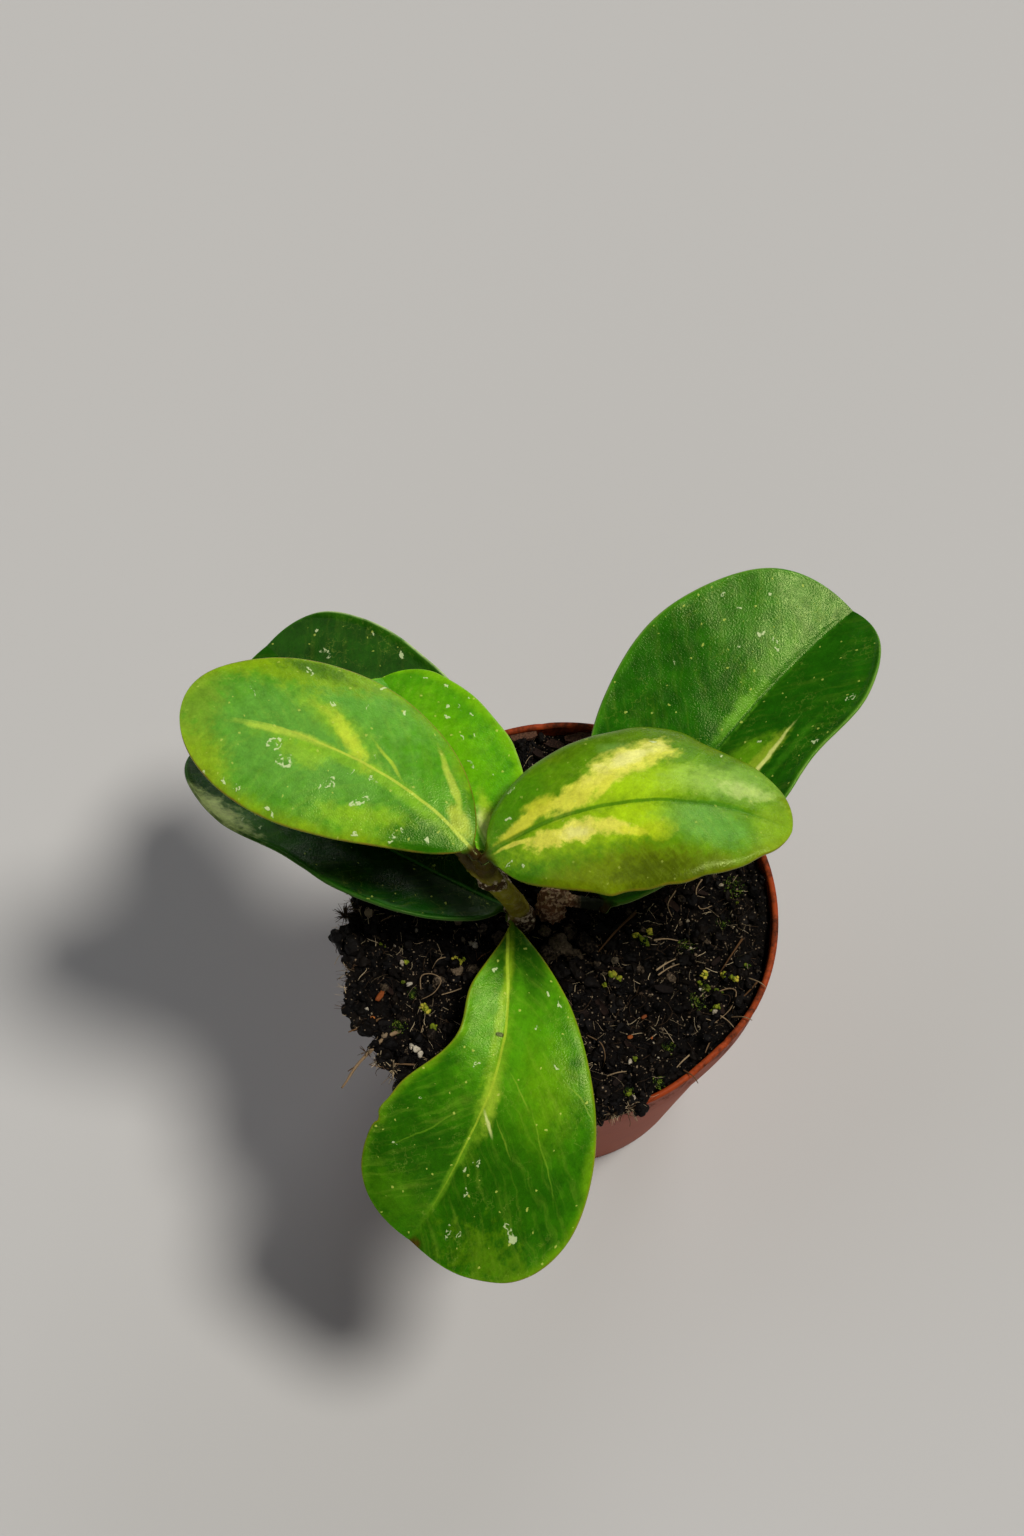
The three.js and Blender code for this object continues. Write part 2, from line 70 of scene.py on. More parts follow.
# Where the midrib's line bends, from and to, in millimetres along the blade.
RIB_BENDS = ((8.0, 28.0), (34.0, 54.0))


class Slot(Enum):
    """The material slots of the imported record."""

    POT = "pot_plastic"
    MIX = "potting_mix"
    STEM = "stem_bark"
    WOOD = "woody_bark"
    MOTTLED = "leaf_mottled"
    SPLASHED = "leaf_splashed"
    BRIGHT = "leaf_bright"
    DARK = "leaf_dark"


def linear(colour: str) -> tuple[float, float, float, float]:
    """Turn an sRGB hex colour into linear values.

    Args:
        colour: The colour as #rrggbb.

    Returns:
        Linear red, green and blue, and an alpha of 1.
    """
    channels = [int(colour[i:i + 2], 16) / 255 for i in (1, 3, 5)]
    values = [c / 12.92 if c <= 0.04045 else ((c + 0.055) / 1.055) ** 2.4 for c in channels]
    return (values[0], values[1], values[2], 1.0)


def smooth_step(low: float, high: float, value: float) -> float:
    """Ease from 0 at low to 1 at high.

    Args:
        low: Where it is 0.
        high: Where it is 1.
        value: The place between them.

    Returns:
        The eased share.
    """
    t = min(1.0, max(0.0, (value - low) / (high - low)))
    return t * t * (3 - 2 * t)


class Nodes:
    """The nodes of one material or of the world."""

    def __init__(self, owner: bpy.types.Material | bpy.types.World) -> None:
        """Start with none."""
        owner.use_nodes = True
        self.owner = owner
        self.tree = owner.node_tree
        self.tree.nodes.clear()

    def add(self, kind: str, inputs: dict | tuple = (), out: int = 0, **settings: object) -> Socket | None:
        """Add a node with its settings and links.

        Args:
            kind: The node's type, without the leading ShaderNode.
            inputs: Value or socket for each input, in their order, or by index or name.
            out: Index of the output that is wanted.
            **settings: Properties of the node.

        Returns:
            The wanted output socket, or None on a node without outputs.
        """
        node = self.tree.nodes.new("ShaderNode" + kind)
        for name, value in settings.items():
            setattr(node, name, value)
        for key, value in inputs.items() if isinstance(inputs, dict) else enumerate(inputs):
            if isinstance(value, Socket):
                self.tree.links.new(value, node.inputs[key])
            else:
                node.inputs[key].default_value = value
        return node.outputs[out] if node.outputs else None

    def coated(self, colour: str | Socket, coats: Iterable[tuple[Socket, str | Socket]]) -> Socket:
        """Lay colours over a first one, each where its mask is.

        Args:
            colour: The first colour, as #rrggbb or a socket.
            coats: Mask and colour of each coat, from the lowest.

        Returns:
            The colour.
        """
        colour = linear(colour) if isinstance(colour, str) else colour
        for mask, coat in coats:
            coat = linear(coat) if isinstance(coat, str) else coat
            colour = self.add("Mix", {0: mask, 6: colour, 7: coat}, out=2, data_type="RGBA")
        return colour

    def specks(self, place: Socket, spacing: float, share: float, radius: float) -> Socket:
        """Scattered specks of differing size.

        Args:
            place: Place on the surface, in metres.
            spacing: Distance between the places where a speck may be, in millimetres.
            share: Share of those places that have one.
            radius: Radius of the largest, as a share of the spacing.

        Returns:
            The mask.
        """
        off = self.add("TexVoronoi", {"Vector": place, "Scale": 1 / (spacing * MM)})
        pick = self.add("TexVoronoi", {"Vector": place, "Scale": 1 / (spacing * MM)}, out=1)
        chance = self.add("SeparateXYZ", (pick,))
        size = self.add("MapRange", (chance, 1 - share, 1.0, 0.0, radius))
        inside = self.add("Math", (size, off), operation="SUBTRACT")
        return self.add("MapRange", (inside, 0.0, 0.05))

    def finish(self, colour: Socket, rough: float | Socket, height: Socket, bump: tuple[float, float],
               ior: float, gloss: float, tint: str = "#ffffff") -> bpy.types.Material:
        """Close the material with its fine relief and its gloss.

        Args:
            colour: The colour.
            rough: The roughness.
            height: The relief.
            bump: The relief's strength and its depth in millimetres.
            ior: The index of refraction.
            gloss: How strongly the surface mirrors, 0.5 for a clean one.
            tint: Colour of the gloss.

        Returns:
            The material.
        """
        normal = self.add("Bump", {"Height": height, "Strength": bump[0], "Distance": bump[1] * MM})
        shader = self.add("BsdfPrincipled", {"Base Color": colour, "Roughness": rough, "IOR": ior,
                                             "Specular IOR Level": gloss, "Specular Tint": linear(tint),
                                             "Normal": normal})
        self.add("OutputMaterial", {"Surface": shader})
        return self.owner


def as_mesh(name: str, bm: bmesh.types.BMesh) -> bpy.types.Mesh:
    """Turn a bmesh into a mesh.

    Args:
        name: The mesh's name.
        bm: The bmesh, which is freed.

    Returns:
        The mesh.
    """
    mesh = bpy.data.meshes.new(name)
    bm.to_mesh(mesh)
    bm.free()
    return mesh


def pour(source: bmesh.types.BMesh, target: bmesh.types.BMesh) -> None:
    """Move one bmesh into another.

    Args:
        source: The bmesh to move, which is freed.
        target: Where it goes.
    """
    mesh = as_mesh("bit", source)
    target.from_mesh(mesh)
    bpy.data.meshes.remove(mesh)


def placed(name: str, data: bpy.types.ID) -> bpy.types.Object:
    """Put a new object in the scene.

    Args:
        name: Its name.
        data: Its mesh, light or camera.

    Returns:
        The object.
    """
    item = bpy.data.objects.new(name, data)
    bpy.context.scene.collection.objects.link(item)
    return item


def baked(piece: bpy.types.Object) -> bpy.types.Mesh:
    """Take a piece's modifiers off and give the mesh that they make.

    Args:
        piece: The piece.

    Returns:
        The mesh.
    """
    mesh = bpy.data.meshes.new_from_object(piece.evaluated_get(bpy.context.evaluated_depsgraph_get()))
    piece.modifiers.clear()
    return mesh


def rolled_grid(around: int, along: int, place: Callable[[float, float], Vector],
                note: Callable[[bmesh.types.BMesh], Callable] | None = None) -> bmesh.types.BMesh:
    """Roll a grid into a closed skin, welded along its seam and at its ends.

    Args:
        around: Faces round the skin.
        along: Faces along it.
        place: Gives the point in millimetres for a turn and a run, each from 0 to 1.
        note: Makes layers and returns a function that fills them for a vertex, turn and run.

    Returns:
        The bmesh, with its faces outwards.
    """
    bm = bmesh.new()
    fill = note(bm) if note else None
    bmesh.ops.create_grid(bm, x_segments=around, y_segments=along, size=1)
    for vert in bm.verts:
        turn = round((vert.co.x + 1) / 2 * around) % around / around
        run = round((vert.co.y + 1) / 2 * along) / along
        vert.co = place(turn, run) * MM
        if fill:
            fill(vert, turn, run)
    bmesh.ops.remove_doubles(bm, verts=bm.verts, dist=WELD)
    bmesh.ops.recalc_face_normals(bm, faces=bm.faces)
    return bm


def rod(points: list[Vector], radius: float, tip: float, sides: int, steps: int) -> bmesh.types.BMesh:
    """A root, twig or petiole through some points.

    Args:
        points: The points in millimetres.
        radius: Its radius at the start.
        tip: Its radius at the end.
        sides: Faces round it.
        steps: Faces along it.

    Returns:
        The mesh.
    """
    def at(t: float) -> Vector:
        """A point of the smooth line."""
        f = t * (len(points) - 1)
        i = min(int(f), len(points) - 2)
        p = [points[max(0, min(len(points) - 1, k))] for k in (i - 1, i, i + 1, i + 2)]
        u = f - i
        return 0.5 * ((2 * p[1]) + (p[2] - p[0]) * u + (2 * p[0] - 5 * p[1] + 4 * p[2] - p[3]) * u * u
                      + (3 * p[1] - p[0] - 3 * p[2] + p[3]) * u ** 3)

    def place(turn: float, run: float) -> Vector:
        """A point of its skin."""
        t = min(1.0, max(0.0, (run * (steps + 2) - 1) / steps))
        centre = at(t)
        heading = (at(min(1, t + 0.02)) - at(max(0, t - 0.02))).normalized()
        side = heading.cross(Vector((0.3, 0.2, 1))).normalized()
        up = side.cross(heading)
        closed = 0 if run in (0, 1) else 1
        r = (radius + (tip - radius) * t) * closed * (1 + 0.25 * noise.noise(centre * 0.9))
        angle = math.tau * turn
        return centre + side * (r * math.cos(angle)) + up * (r * math.sin(angle))

    return rolled_grid(sides, steps + 2, place)


def make_piece(name: str, bm: bmesh.types.BMesh, material: bpy.types.Material,
               replaced: tuple[str, ...] = (), smooth: bool = True) -> bpy.types.Object:
    """Turn a bmesh into a dressed piece that rides on the part's body.

    Args:
        name: The piece's name.
        bm: Its mesh, which is freed.
        material: Its material.
        replaced: CAD nodes that it stands for.
        smooth: Whether its faces are shaded smooth.

    Returns:
        The object.
    """
    for face in bm.faces:
        face.smooth = smooth
    mesh = as_mesh(name, bm)
    mesh.materials.append(material)
    piece = placed(name, mesh)
    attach(piece, BODY)
    if replaced:
        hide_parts(*replaced)
    LOG.info("%s: %d faces", name, len(mesh.polygons))
    return piece


@dataclass(frozen=True)
class Patch:
    """A patch of another colour on a blade, in millimetres and degrees in the blade's own plane."""

    along: float
    across: float
    half_length: float
    half_width: float
    turn: float
    colour: str
    strength: float = 1.0
    soft: float = 0.6
    fray: float = 0.8


@dataclass(frozen=True)
class Scuff:
    """A dry, whitish scratch in the wax of a blade, in millimetres and degrees."""

    along: float
    across: float
    half_length: float
    half_width: float
    turn: float = 0.0


@dataclass(frozen=True)
class LeafWax:
    """Living hoya leaf: thick flesh under a smooth cuticle, so a soft gloss over a deep, mottled green."""

    body: str
    deep: str
    lime: str
    lime_width: float
    margin: str
    rib: str
    rib_reach: float
    rib_half_width: float = 0.3
    rib_strength: float = 0.8
    rib_line: tuple[float, float, float] = (0.2, 0.3, 0.2)
    petiole: str = "#2e2009"
    under: str = "#7f9a55"
    mottle: float = 0.8
    streaks: float = 0.12
    crackle: float = 0.14
    flecks: float = 0.6
    fleck: str = "#c3d35c"
    roughness: float = 0.26
    gloss: float = 0.2
    pleats: float = 0.4
    patches: tuple[Patch, ...] = ()
    scuffs: tuple[Scuff, ...] = ()

    # The cuticle's texture is drawn at 0.4 mm, ten times the real cells, so that it shows.
    CELL_MM = 0.4
    FLECK_MM = 3.4
    STREAK = "#a8c83c"
    THREAD = "#c3d65a"
    SCUFF = "#cfe0a6"
    SMALL_SCUFF = 0.65
    UNDER_ROUGHNESS = 0.62
    WAX_IOR = 1.45
    # The wax film over green flesh turns its sheen a little yellow-green.
    WAX_TINT = "#e8ffa4"


class LeafPaint(Nodes):
    """Lays a wax on a blade by the place, margin distance and face that the blade's mesh holds.

    The place is in millimetres, so a noise's scale is per millimetre.
    """

    def __init__(self, wax: LeafWax, name: str) -> None:
        """Start with what the mesh holds."""
        super().__init__(bpy.data.materials.new(name))
        self.wax = wax
        self.place = self.add("Attribute", out=1, attribute_name="leaf_place")
        self.along = self.add("SeparateXYZ", (self.place,))
        self.edge = self.add("Attribute", out=2, attribute_name="leaf_edge")
        self.face = self.add("Attribute", out=2, attribute_name="leaf_face")

    def dress(self) -> bpy.types.Material:
        """Lay all the colours and the gloss.

        Returns:
            The material.
        """
        wax = self.wax
        where = self.warped(1 / 7, 2.0)
        fray = self.fray()
        coats = [(self.clouds(where), wax.deep), (self.towards_margin(where), wax.lime)]
        coats += [(self.patch(patch, where, fray), patch.colour) for patch in wax.patches]
        coats += [(self.streaks(), wax.STREAK), (self.threads(), wax.THREAD), (self.rib(), wax.rib)]
        green = self.grained(self.coated(wax.body, coats))
        fleck, scuffed = self.flecks(), self.scuffs()
        coats = [(fleck, wax.fleck), (scuffed, wax.SCUFF), (self.worn_margin_and_highlight(), wax.margin),
                 (self.neck(), wax.petiole)]
        colour = self.coated(wax.under, [(self.face, self.coated(green, coats))])
        return self.gloss(colour, fleck, scuffed)

    def warped(self, scale: float, reach: float) -> Socket:
        """The place, pushed about with noise, so that nothing is a plain ellipse.

        Args:
            scale: Noise scale per millimetre.
            reach: Greatest push in millimetres, both ways together.

        Returns:
            The pushed place.
        """
        wander = self.add("TexNoise", {"Vector": self.place, "Scale": scale, "Detail": 3.0}, out=1)
        centred = self.add("VectorMath", (wander, (0.5, 0.5, 0.5)), operation="SUBTRACT")
        pushed = self.add("VectorMath", (centred, (reach, reach, 0.0)), operation="MULTIPLY")
        return self.add("VectorMath", (self.place, pushed), operation="ADD")

    def vein_lines(self, place: Socket, fine: float, coarse: float) -> Socket:
        """Places in which the side veins run straight.

        Args:
            place: Place on the blade.
            fine: Scale across the veins.
            coarse: Scale along them.

        Returns:
            The vector: how far along the midrib the vein starts, and how far out the place is.
        """
        along = self.add("SeparateXYZ", (place,))
        across = self.add("SeparateXYZ", (place,), out=1)
        out = self.add("Math", (across,), operation="ABSOLUTE")
        start = self.add("Math", (out, -VEIN_SLANT, along), operation="MULTIPLY_ADD")
        start = self.add("Math", (start, fine), operation="MULTIPLY")
        out = self.add("Math", (across, coarse), operation="MULTIPLY")
        return self.add("CombineXYZ", (start, out))

    def fray(self) -> Socket:
        """How a patch's edge runs in and out: in clouds, and along the side veins; a value about zero."""
        clouds = self.add("TexNoise", {"Vector": self.place, "Scale": 0.42, "Detail": 5.0, "Roughness": 0.62})
        lines = self.vein_lines(self.place, 0.8, 0.2)
        feathers = self.add("TexNoise", {"Vector": lines, "Scale": 1.0, "Detail": 3.0, "Roughness": 0.6})
        total = self.add("Math", (clouds, 2.0, -1.25), operation="MULTIPLY_ADD")
        return self.add("Math", (feathers, 0.5, total), operation="MULTIPLY_ADD")

    def distance(self, where: Socket, spot: Patch | Scuff) -> Socket:
        """How far a place is from an ellipse's middle, 1 on the ellipse.

        Args:
            where: Place on the blade.
            spot: The patch or scuff whose ellipse it is.

        Returns:
            The distance.
        """
        ellipse = {"Vector": where, "Location": (spot.along, spot.across, 0.0),
                   "Rotation": (0.0, 0.0, math.radians(spot.turn)),
                   "Scale": (spot.half_length, spot.half_width, 1.0)}
        local = self.add("Mapping", ellipse, vector_type="TEXTURE")
        return self.add("VectorMath", (local,), out=1, operation="LENGTH")

    def patch(self, patch: Patch, where: Socket, fray: Socket) -> Socket:
        """Mask of a patch.

        Args:
            patch: The patch.
            where: Place on the blade.
            fray: How its edge runs in and out.

        Returns:
            The mask.
        """
        off = self.distance(where, patch)
        off = self.add("Math", (fray, patch.fray, off), operation="MULTIPLY_ADD")
        fade = (off, 1 + patch.soft, 1 - patch.soft, 0.0, patch.strength)
        return self.add("MapRange", fade, **SMOOTH)

    def clouds(self, where: Socket) -> Socket:
        """Mask of the deeper green, in clouds."""
        clouds = self.add("TexNoise", {"Vector": where, "Scale": 0.17, "Detail": 5.0, "Roughness": 0.65})
        return self.add("MapRange", (clouds, 0.38, 0.64, 0.0, self.wax.mottle))

    def towards_margin(self, where: Socket) -> Socket:
        """Mask of the yellower green towards the margin."""
        wide = self.wax.lime_width
        drift = self.add("TexNoise", {"Vector": where, "Scale": 0.11, "Detail": 4.0})
        drift = self.add("Math", (drift, -2.4 * wide, self.edge), operation="MULTIPLY_ADD")
        return self.add("MapRange", (drift, 0.2 * wide, -1.2 * wide, 0.0, 0.9), **SMOOTH)

    def streaks(self) -> Socket:
        """Mask of faint paler streaks along the side veins."""
        lines = self.vein_lines(self.warped(0.16, 3.0), 0.55, 0.1)
        streaks = self.add("TexNoise", {"Vector": lines, "Scale": 1.0, "Detail": 5.0, "Roughness": 0.6})
        return self.add("MapRange", (streaks, 0.5, 0.74, 0.0, self.wax.streaks))

    def threads(self) -> Socket:
        """Mask of thin pale lines like the cracks of a glaze, here and there."""
        lines = self.add("TexNoise", {"Vector": self.place, "Scale": 0.3, "Detail": 3.5, "Roughness": 0.62})
        lines = self.add("Math", (lines, 0.5), operation="SUBTRACT")
        lines = self.add("Math", (lines,), operation="ABSOLUTE")
        lines = self.add("MapRange", (lines, 0.016, 0.003))
        here = self.add("TexNoise", {"Vector": self.place, "Scale": 0.13, "Detail": 3.0, "W": 2.0},
                        noise_dimensions="4D")
        here = self.add("MapRange", (here, 0.48, 0.64, 0.0, self.wax.crackle))
        return self.add("Math", (lines, here), operation="MULTIPLY")

    def grained(self, colour: Socket) -> Socket:
        """The colour with the fine uneven green of the cells below the cuticle."""
        fine = 1 / (2 * self.wax.CELL_MM)
        grain = self.add("TexNoise", {"Vector": self.place, "Scale": fine, "Detail": 3.0, "Roughness": 0.7})
        dapple = self.add("TexNoise", {"Vector": self.place, "Scale": 0.36, "Detail": 3.0, "Roughness": 0.6})
        total = self.add("Math", (dapple, 1.3, grain), operation="MULTIPLY_ADD")
        value = self.add("MapRange", (total, 0.8, 1.5, 0.78, 1.2))
        return self.add("HueSaturation", {"Value": value, "Color": colour})

    def flecks(self) -> Socket:
        """Mask of small pale specks, about one in each few square millimetres."""
        cell = {"Vector": self.warped(1.6, 0.8), "Scale": 1 / self.wax.FLECK_MM}
        off = self.add("TexVoronoi", cell, voronoi_dimensions="2D")
        pick = self.add("TexVoronoi", cell, out=1, voronoi_dimensions="2D")
        chance = self.add("SeparateXYZ", (pick,))
        radius = self.add("MapRange", (chance, 0.5, 1.0, 0.0, 0.1))
        inside = self.add("Math", (radius, off), operation="SUBTRACT")
        return self.add("MapRange", (inside, 0.0, 0.03, 0.0, self.wax.flecks))

    def rib(self) -> Socket:
        """Mask of the midrib's line, which thins and fades towards the tip."""
        wax = self.wax
        near, middle, far = wax.rib_line
        across = self.add("SeparateXYZ", (self.warped(0.12, 0.7),), out=1)
        (start, end), (later, last) = RIB_BENDS
        first = self.add("MapRange", (self.along, start, end, near, middle), **SMOOTH)
        second = self.add("MapRange", (self.along, later, last, 0.0, far - middle), **SMOOTH)
        line = self.add("Math", (first, second), operation="ADD")
        out = self.add("Math", (across, line), operation="SUBTRACT")
        out = self.add("Math", (out,), operation="ABSOLUTE")
        wide, narrow = wax.rib_half_width * 1.4, wax.rib_half_width * 0.5
        width = self.add("MapRange", (self.along, 0.0, wax.rib_reach, wide, narrow))
        share = self.add("Math", (out, width), operation="DIVIDE")
        line = self.add("MapRange", (share, 1.4, 0.5, 0.0, wax.rib_strength), **SMOOTH)
        fade = self.add("MapRange", (self.along, wax.rib_reach, 0.6 * wax.rib_reach, 0.0, 1.0))
        return self.add("Math", (line, fade), operation="MULTIPLY")

    def scuffs(self) -> Socket:
        """Mask of the scuffs: small ones whole, larger ones as thin broken loops."""
        bent = self.warped(0.55, 3.4)
        gaps = self.add("TexNoise", {"Vector": self.place, "Scale": 0.9, "Detail": 1.0})
        gaps = self.add("MapRange", (gaps, 0.47, 0.53))
        whole, broken = 0.0, 0.0
        for scuff in self.wax.scuffs:
            off = self.distance(bent, scuff)
            if scuff.half_length < self.wax.SMALL_SCUFF:
                spot = self.add("MapRange", (off, 1.3, 0.8), **SMOOTH)
                whole = self.add("Math", (whole, spot), operation="MAXIMUM")
            else:
                loop = self.add("Math", (off, 0.75), operation="SUBTRACT")
                loop = self.add("Math", (loop,), operation="ABSOLUTE")
                loop = self.add("MapRange", (loop, 0.3, 0.12))
                broken = self.add("Math", (broken, loop), operation="MAXIMUM")
        broken = self.add("Math", (broken, gaps), operation="MULTIPLY")
        mask = self.add("Math", (whole, broken), operation="MAXIMUM")
        return self.add("Math", (mask, 0.8), operation="MULTIPLY")

    def worn_margin_and_highlight(self) -> Socket:
        """Mask of the line along the margin: a dry line, and on the back-left leaf a painted rim highlight.
        """
        rim = self.add("MapRange", (self.edge, 0.6, 0.15, 0.0, 0.75), **SMOOTH)
        worn = self.add("TexNoise", {"Vector": self.place, "Scale": 0.22, "Detail": 4.0})
        worn = self.add("MapRange", (worn, 0.35, 0.6, 0.25, 1.0))
        return self.add("Math", (rim, worn), operation="MULTIPLY")

    def neck(self) -> Socket:
        """Mask of the neck, where the blade turns into its petiole."""
        return self.add("MapRange", (self.along, 1.6, -0.6), **SMOOTH)

    def gloss(self, colour: Socket, fleck: Socket, scuffed: Socket) -> bpy.types.Material:
        """Close the material with the wax's gloss and relief.

        Args:
            colour: The finished colour.
            fleck: Mask of the pale specks.
            scuffed: Mask of the scuffs.

        Returns:
            The material.
        """
        wax = self.wax
        haze = self.add("TexNoise", {"Vector": self.place, "Scale": 0.4, "Detail": 5.0})
        satin, dull = wax.roughness - 0.06, wax.roughness + 0.08
        rough = self.add("MapRange", (haze, 0.3, 0.7, satin, dull))
        rough = self.add("Math", (scuffed, 0.3, rough), operation="MULTIPLY_ADD")
        rough = self.add("Mix", {0: self.face, 2: wax.UNDER_ROUGHNESS, 3: rough})
        cells = self.add("TexNoise", {"Vector": self.place, "Scale": 1 / wax.CELL_MM, "Detail": 2.0})
        lines = self.vein_lines(self.place, 0.7, 0.12)
        pleats = self.add("TexNoise", {"Vector": lines, "Scale": 1.0, "Detail": 3.0})
        height = self.add("Math", (pleats, wax.pleats, cells), operation="MULTIPLY_ADD")
        marks = self.add("Math", (fleck, scuffed), operation="ADD")
        height = self.add("Math", (marks, 0.7, height), operation="MULTIPLY_ADD")
        return self.finish(colour, rough, height, (0.45, 0.14), wax.WAX_IOR, wax.gloss, wax.WAX_TINT)


@dataclass(frozen=True)
class Blade:
    """One leaf: the curved, folded plate that the solid has, with a round margin, a midrib and its neck.

    The names and values are the solid's. lip_left and lip_right are how far each margin turns up, in
    millimetres, groove is how deep the midrib lies on the upper face and ripple how uneven the blade is.
    Each nick has its place along, its side, its depth and its width; one below 0 stands out.
    """

    node: str
    base: tuple[float, float, float]
    heading: float
    sweep: float
    climb: float
    arch: float
    roll: float
    twist: float
    length: float
    width: float
    widest: float
    blunt: float
    fold: float
    cup: float
    uneven: float
    shift: float
    left: tuple[float, float, float, float]
    right: tuple[float, float, float, float]
    slot: Slot
    wax: LeafWax
    lip_left: float = 0.0
    lip_right: float = 0.0
    groove: float = 0.22
    ripple: float = 0.3
    seed: float = 0.0
    nicks: tuple[tuple[float, int, float, float], ...] = ()

    START = 0.012
    AROUND = 116
    ALONG = 118
    NECK_ROWS = 8
    NECK_LENGTH = 3.2
    NECK_RADIUS = 1.12
    THICKNESS = 1.9
    MARGIN_THICKNESS = 0.85
    EDGE_ROUND = 0.45
    EDGE_SHARE = 0.12
    TABLE_STEPS = 400
    VEIN_RELIEF = 0.045
    LIP_WIDTH = 2.4
    GROOVE_WIDTH = 0.65
    KEEL_HEIGHT = 0.75
    NECK_DROP = 0.95

    def half_width(self, s: float, side: int) -> float:
        """Half width of the blade.

        Args:
            s: Place along it, 0 at the base and 1 at the tip.
            side: 1 for the left half and -1 for the right.

        Returns:
            The half width in millimetres.
        """
        widest = self.widest + self.shift * side
        taper = widest * self.blunt / (1 - widest)
        outline = (s / widest) ** taper * ((1 - s) / (1 - widest)) ** self.blunt
        swell = 0.0
        for i, amount in enumerate(self.left if side > 0 else self.right):
            away = min(1.0, abs(s - 0.2 * (i + 1)) / 0.2)
            swell += amount * math.cos(math.pi / 2 * away) ** 2
        for at, on, depth, wide in self.nicks:
            if on == side:
                swell -= depth * math.exp(-(((s - at) * self.length / wide) ** 2))
        return max(0.0, self.width / 2 * outline * (1 + self.uneven * side) + swell)

    def direction(self, s: float) -> Vector:
        """Direction of the midrib at s."""
        slope = math.radians(self.climb + self.arch * s)
        heading = math.radians(self.heading + self.sweep * s)
        level = math.cos(slope)
        return Vector((level * math.cos(heading), level * math.sin(heading), math.sin(slope)))

    def midrib_table(self) -> list[Vector]:
        """Points of the midrib.

        Returns:
            Evenly spaced points, from the base to the tip.
        """
        step = self.length / self.TABLE_STEPS
        points = [Vector(self.base)]
        for i in range(self.TABLE_STEPS):
            points.append(points[-1] + self.direction((i + 0.5) / self.TABLE_STEPS) * step)
        return points

    def frame_at(self, s: float, table: list[Vector]) -> tuple[Vector, Vector, Vector, Vector]:
        """The midrib's place and axes.

        Args:
            s: Place along the midrib.
            table: The midrib's points.

        Returns:
            The point, and the directions along, left and up.
        """
        f = min(s, 1.0) * self.TABLE_STEPS
        i = min(int(f), self.TABLE_STEPS - 1)
        point = table[i].lerp(table[i + 1], f - i)
        along = self.direction(s)
        heading = math.radians(self.heading + self.sweep * s)
        level = Vector((-math.sin(heading), math.cos(heading), 0.0))
        left = Matrix.Rotation(math.radians(self.roll + self.twist * s), 3, along) @ level
        return point, along, left, along.cross(left)

    def crosswise(self, turn: float, hw: float) -> tuple[float, float, bool]:
        """Where a turn round the section lies on it.

        Args:
            turn: Share of the way round, from the left margin over the upper face.
            hw: Half width there.

        Returns:
            Place across from -1 to 1, share of the full thickness, and whether it is on the upper face.
        """
        upper = turn <= 0.5
        t = 1 - 4 * turn if upper else 4 * turn - 3
        edge = min(0.5, self.EDGE_ROUND / max(hw, 1e-6))
        inner = 1 - self.EDGE_SHARE
        if abs(t) <= inner:
            return math.copysign((1 - edge) * (abs(t) / inner) ** 1.25, t), 1.0, upper
        angle = (abs(t) - inner) / self.EDGE_SHARE * math.pi / 2
        return math.copysign(1 - edge + edge * math.sin(angle), t), math.cos(angle), upper

    def rib_at(self, along: float) -> float:
        """Where the midrib's line runs across the blade, from how far along it is, in millimetres."""
        near, middle, far = self.wax.rib_line
        first, second = RIB_BENDS
        line = near + (middle - near) * smooth_step(*first, along)
        return line + (far - middle) * smooth_step(*second, along)

    def relief(self, s: float, out: float, hw: float, side: int, upper: bool) -> float:
        """Height of the midrib, veins, ripples and lip above the plain blade.

        Args:
            s: Place along the blade.
            out: Distance from the midrib in millimetres.
            hw: Half width there.
            side: 1 left, -1 right.
            upper: Whether this is the upper face.

        Returns:
            The height in millimetres.
        """
        along = s * self.length
        inside = smooth_step(0, 6, along) * smooth_step(0, 8, self.length - along)
        wave = noise.noise(Vector((along / 13, side * out / 10, self.seed)))
        wave += 0.45 * noise.noise(Vector((along / 5, side * out / 5, self.seed + 7)))
        height = self.ripple * wave * inside * smooth_step(0, 5, out)
        start = along - VEIN_SLANT * out
        vein = noise.noise(Vector((start / 2.6, side * out / 12, self.seed + 3)))
        height += self.VEIN_RELIEF * vein * inside
        lip = self.lip_left if side > 0 else self.lip_right
        height += lip * smooth_step(self.LIP_WIDTH, 0.0, hw - out) ** 1.5 * inside if hw > 3 else 0.0
        if upper:
            rib = side * out - self.rib_at(along)
            height -= self.groove * math.exp(-(rib / self.GROOVE_WIDTH) ** 2) * (1 - 0.6 * s) * inside
        else:
            height -= self.KEEL_HEIGHT * math.exp(-(out ** 2)) * (1 - s) ** 1.3
        return height

    def build(self) -> bpy.types.Object:
        """Make the leaf.

        Returns:
            The dressed piece.
        """
        table = self.midrib_table()
        neck = self.NECK_ROWS / self.ALONG

        def run_to_s(run: float) -> float:
            """Place along the blade for a run; the neck stays at the blade's start."""
            share = max(0.0, (run - neck) / (1 - neck))
            return self.START + (1 - self.START) * (1 - math.cos(math.pi * share)) / 2

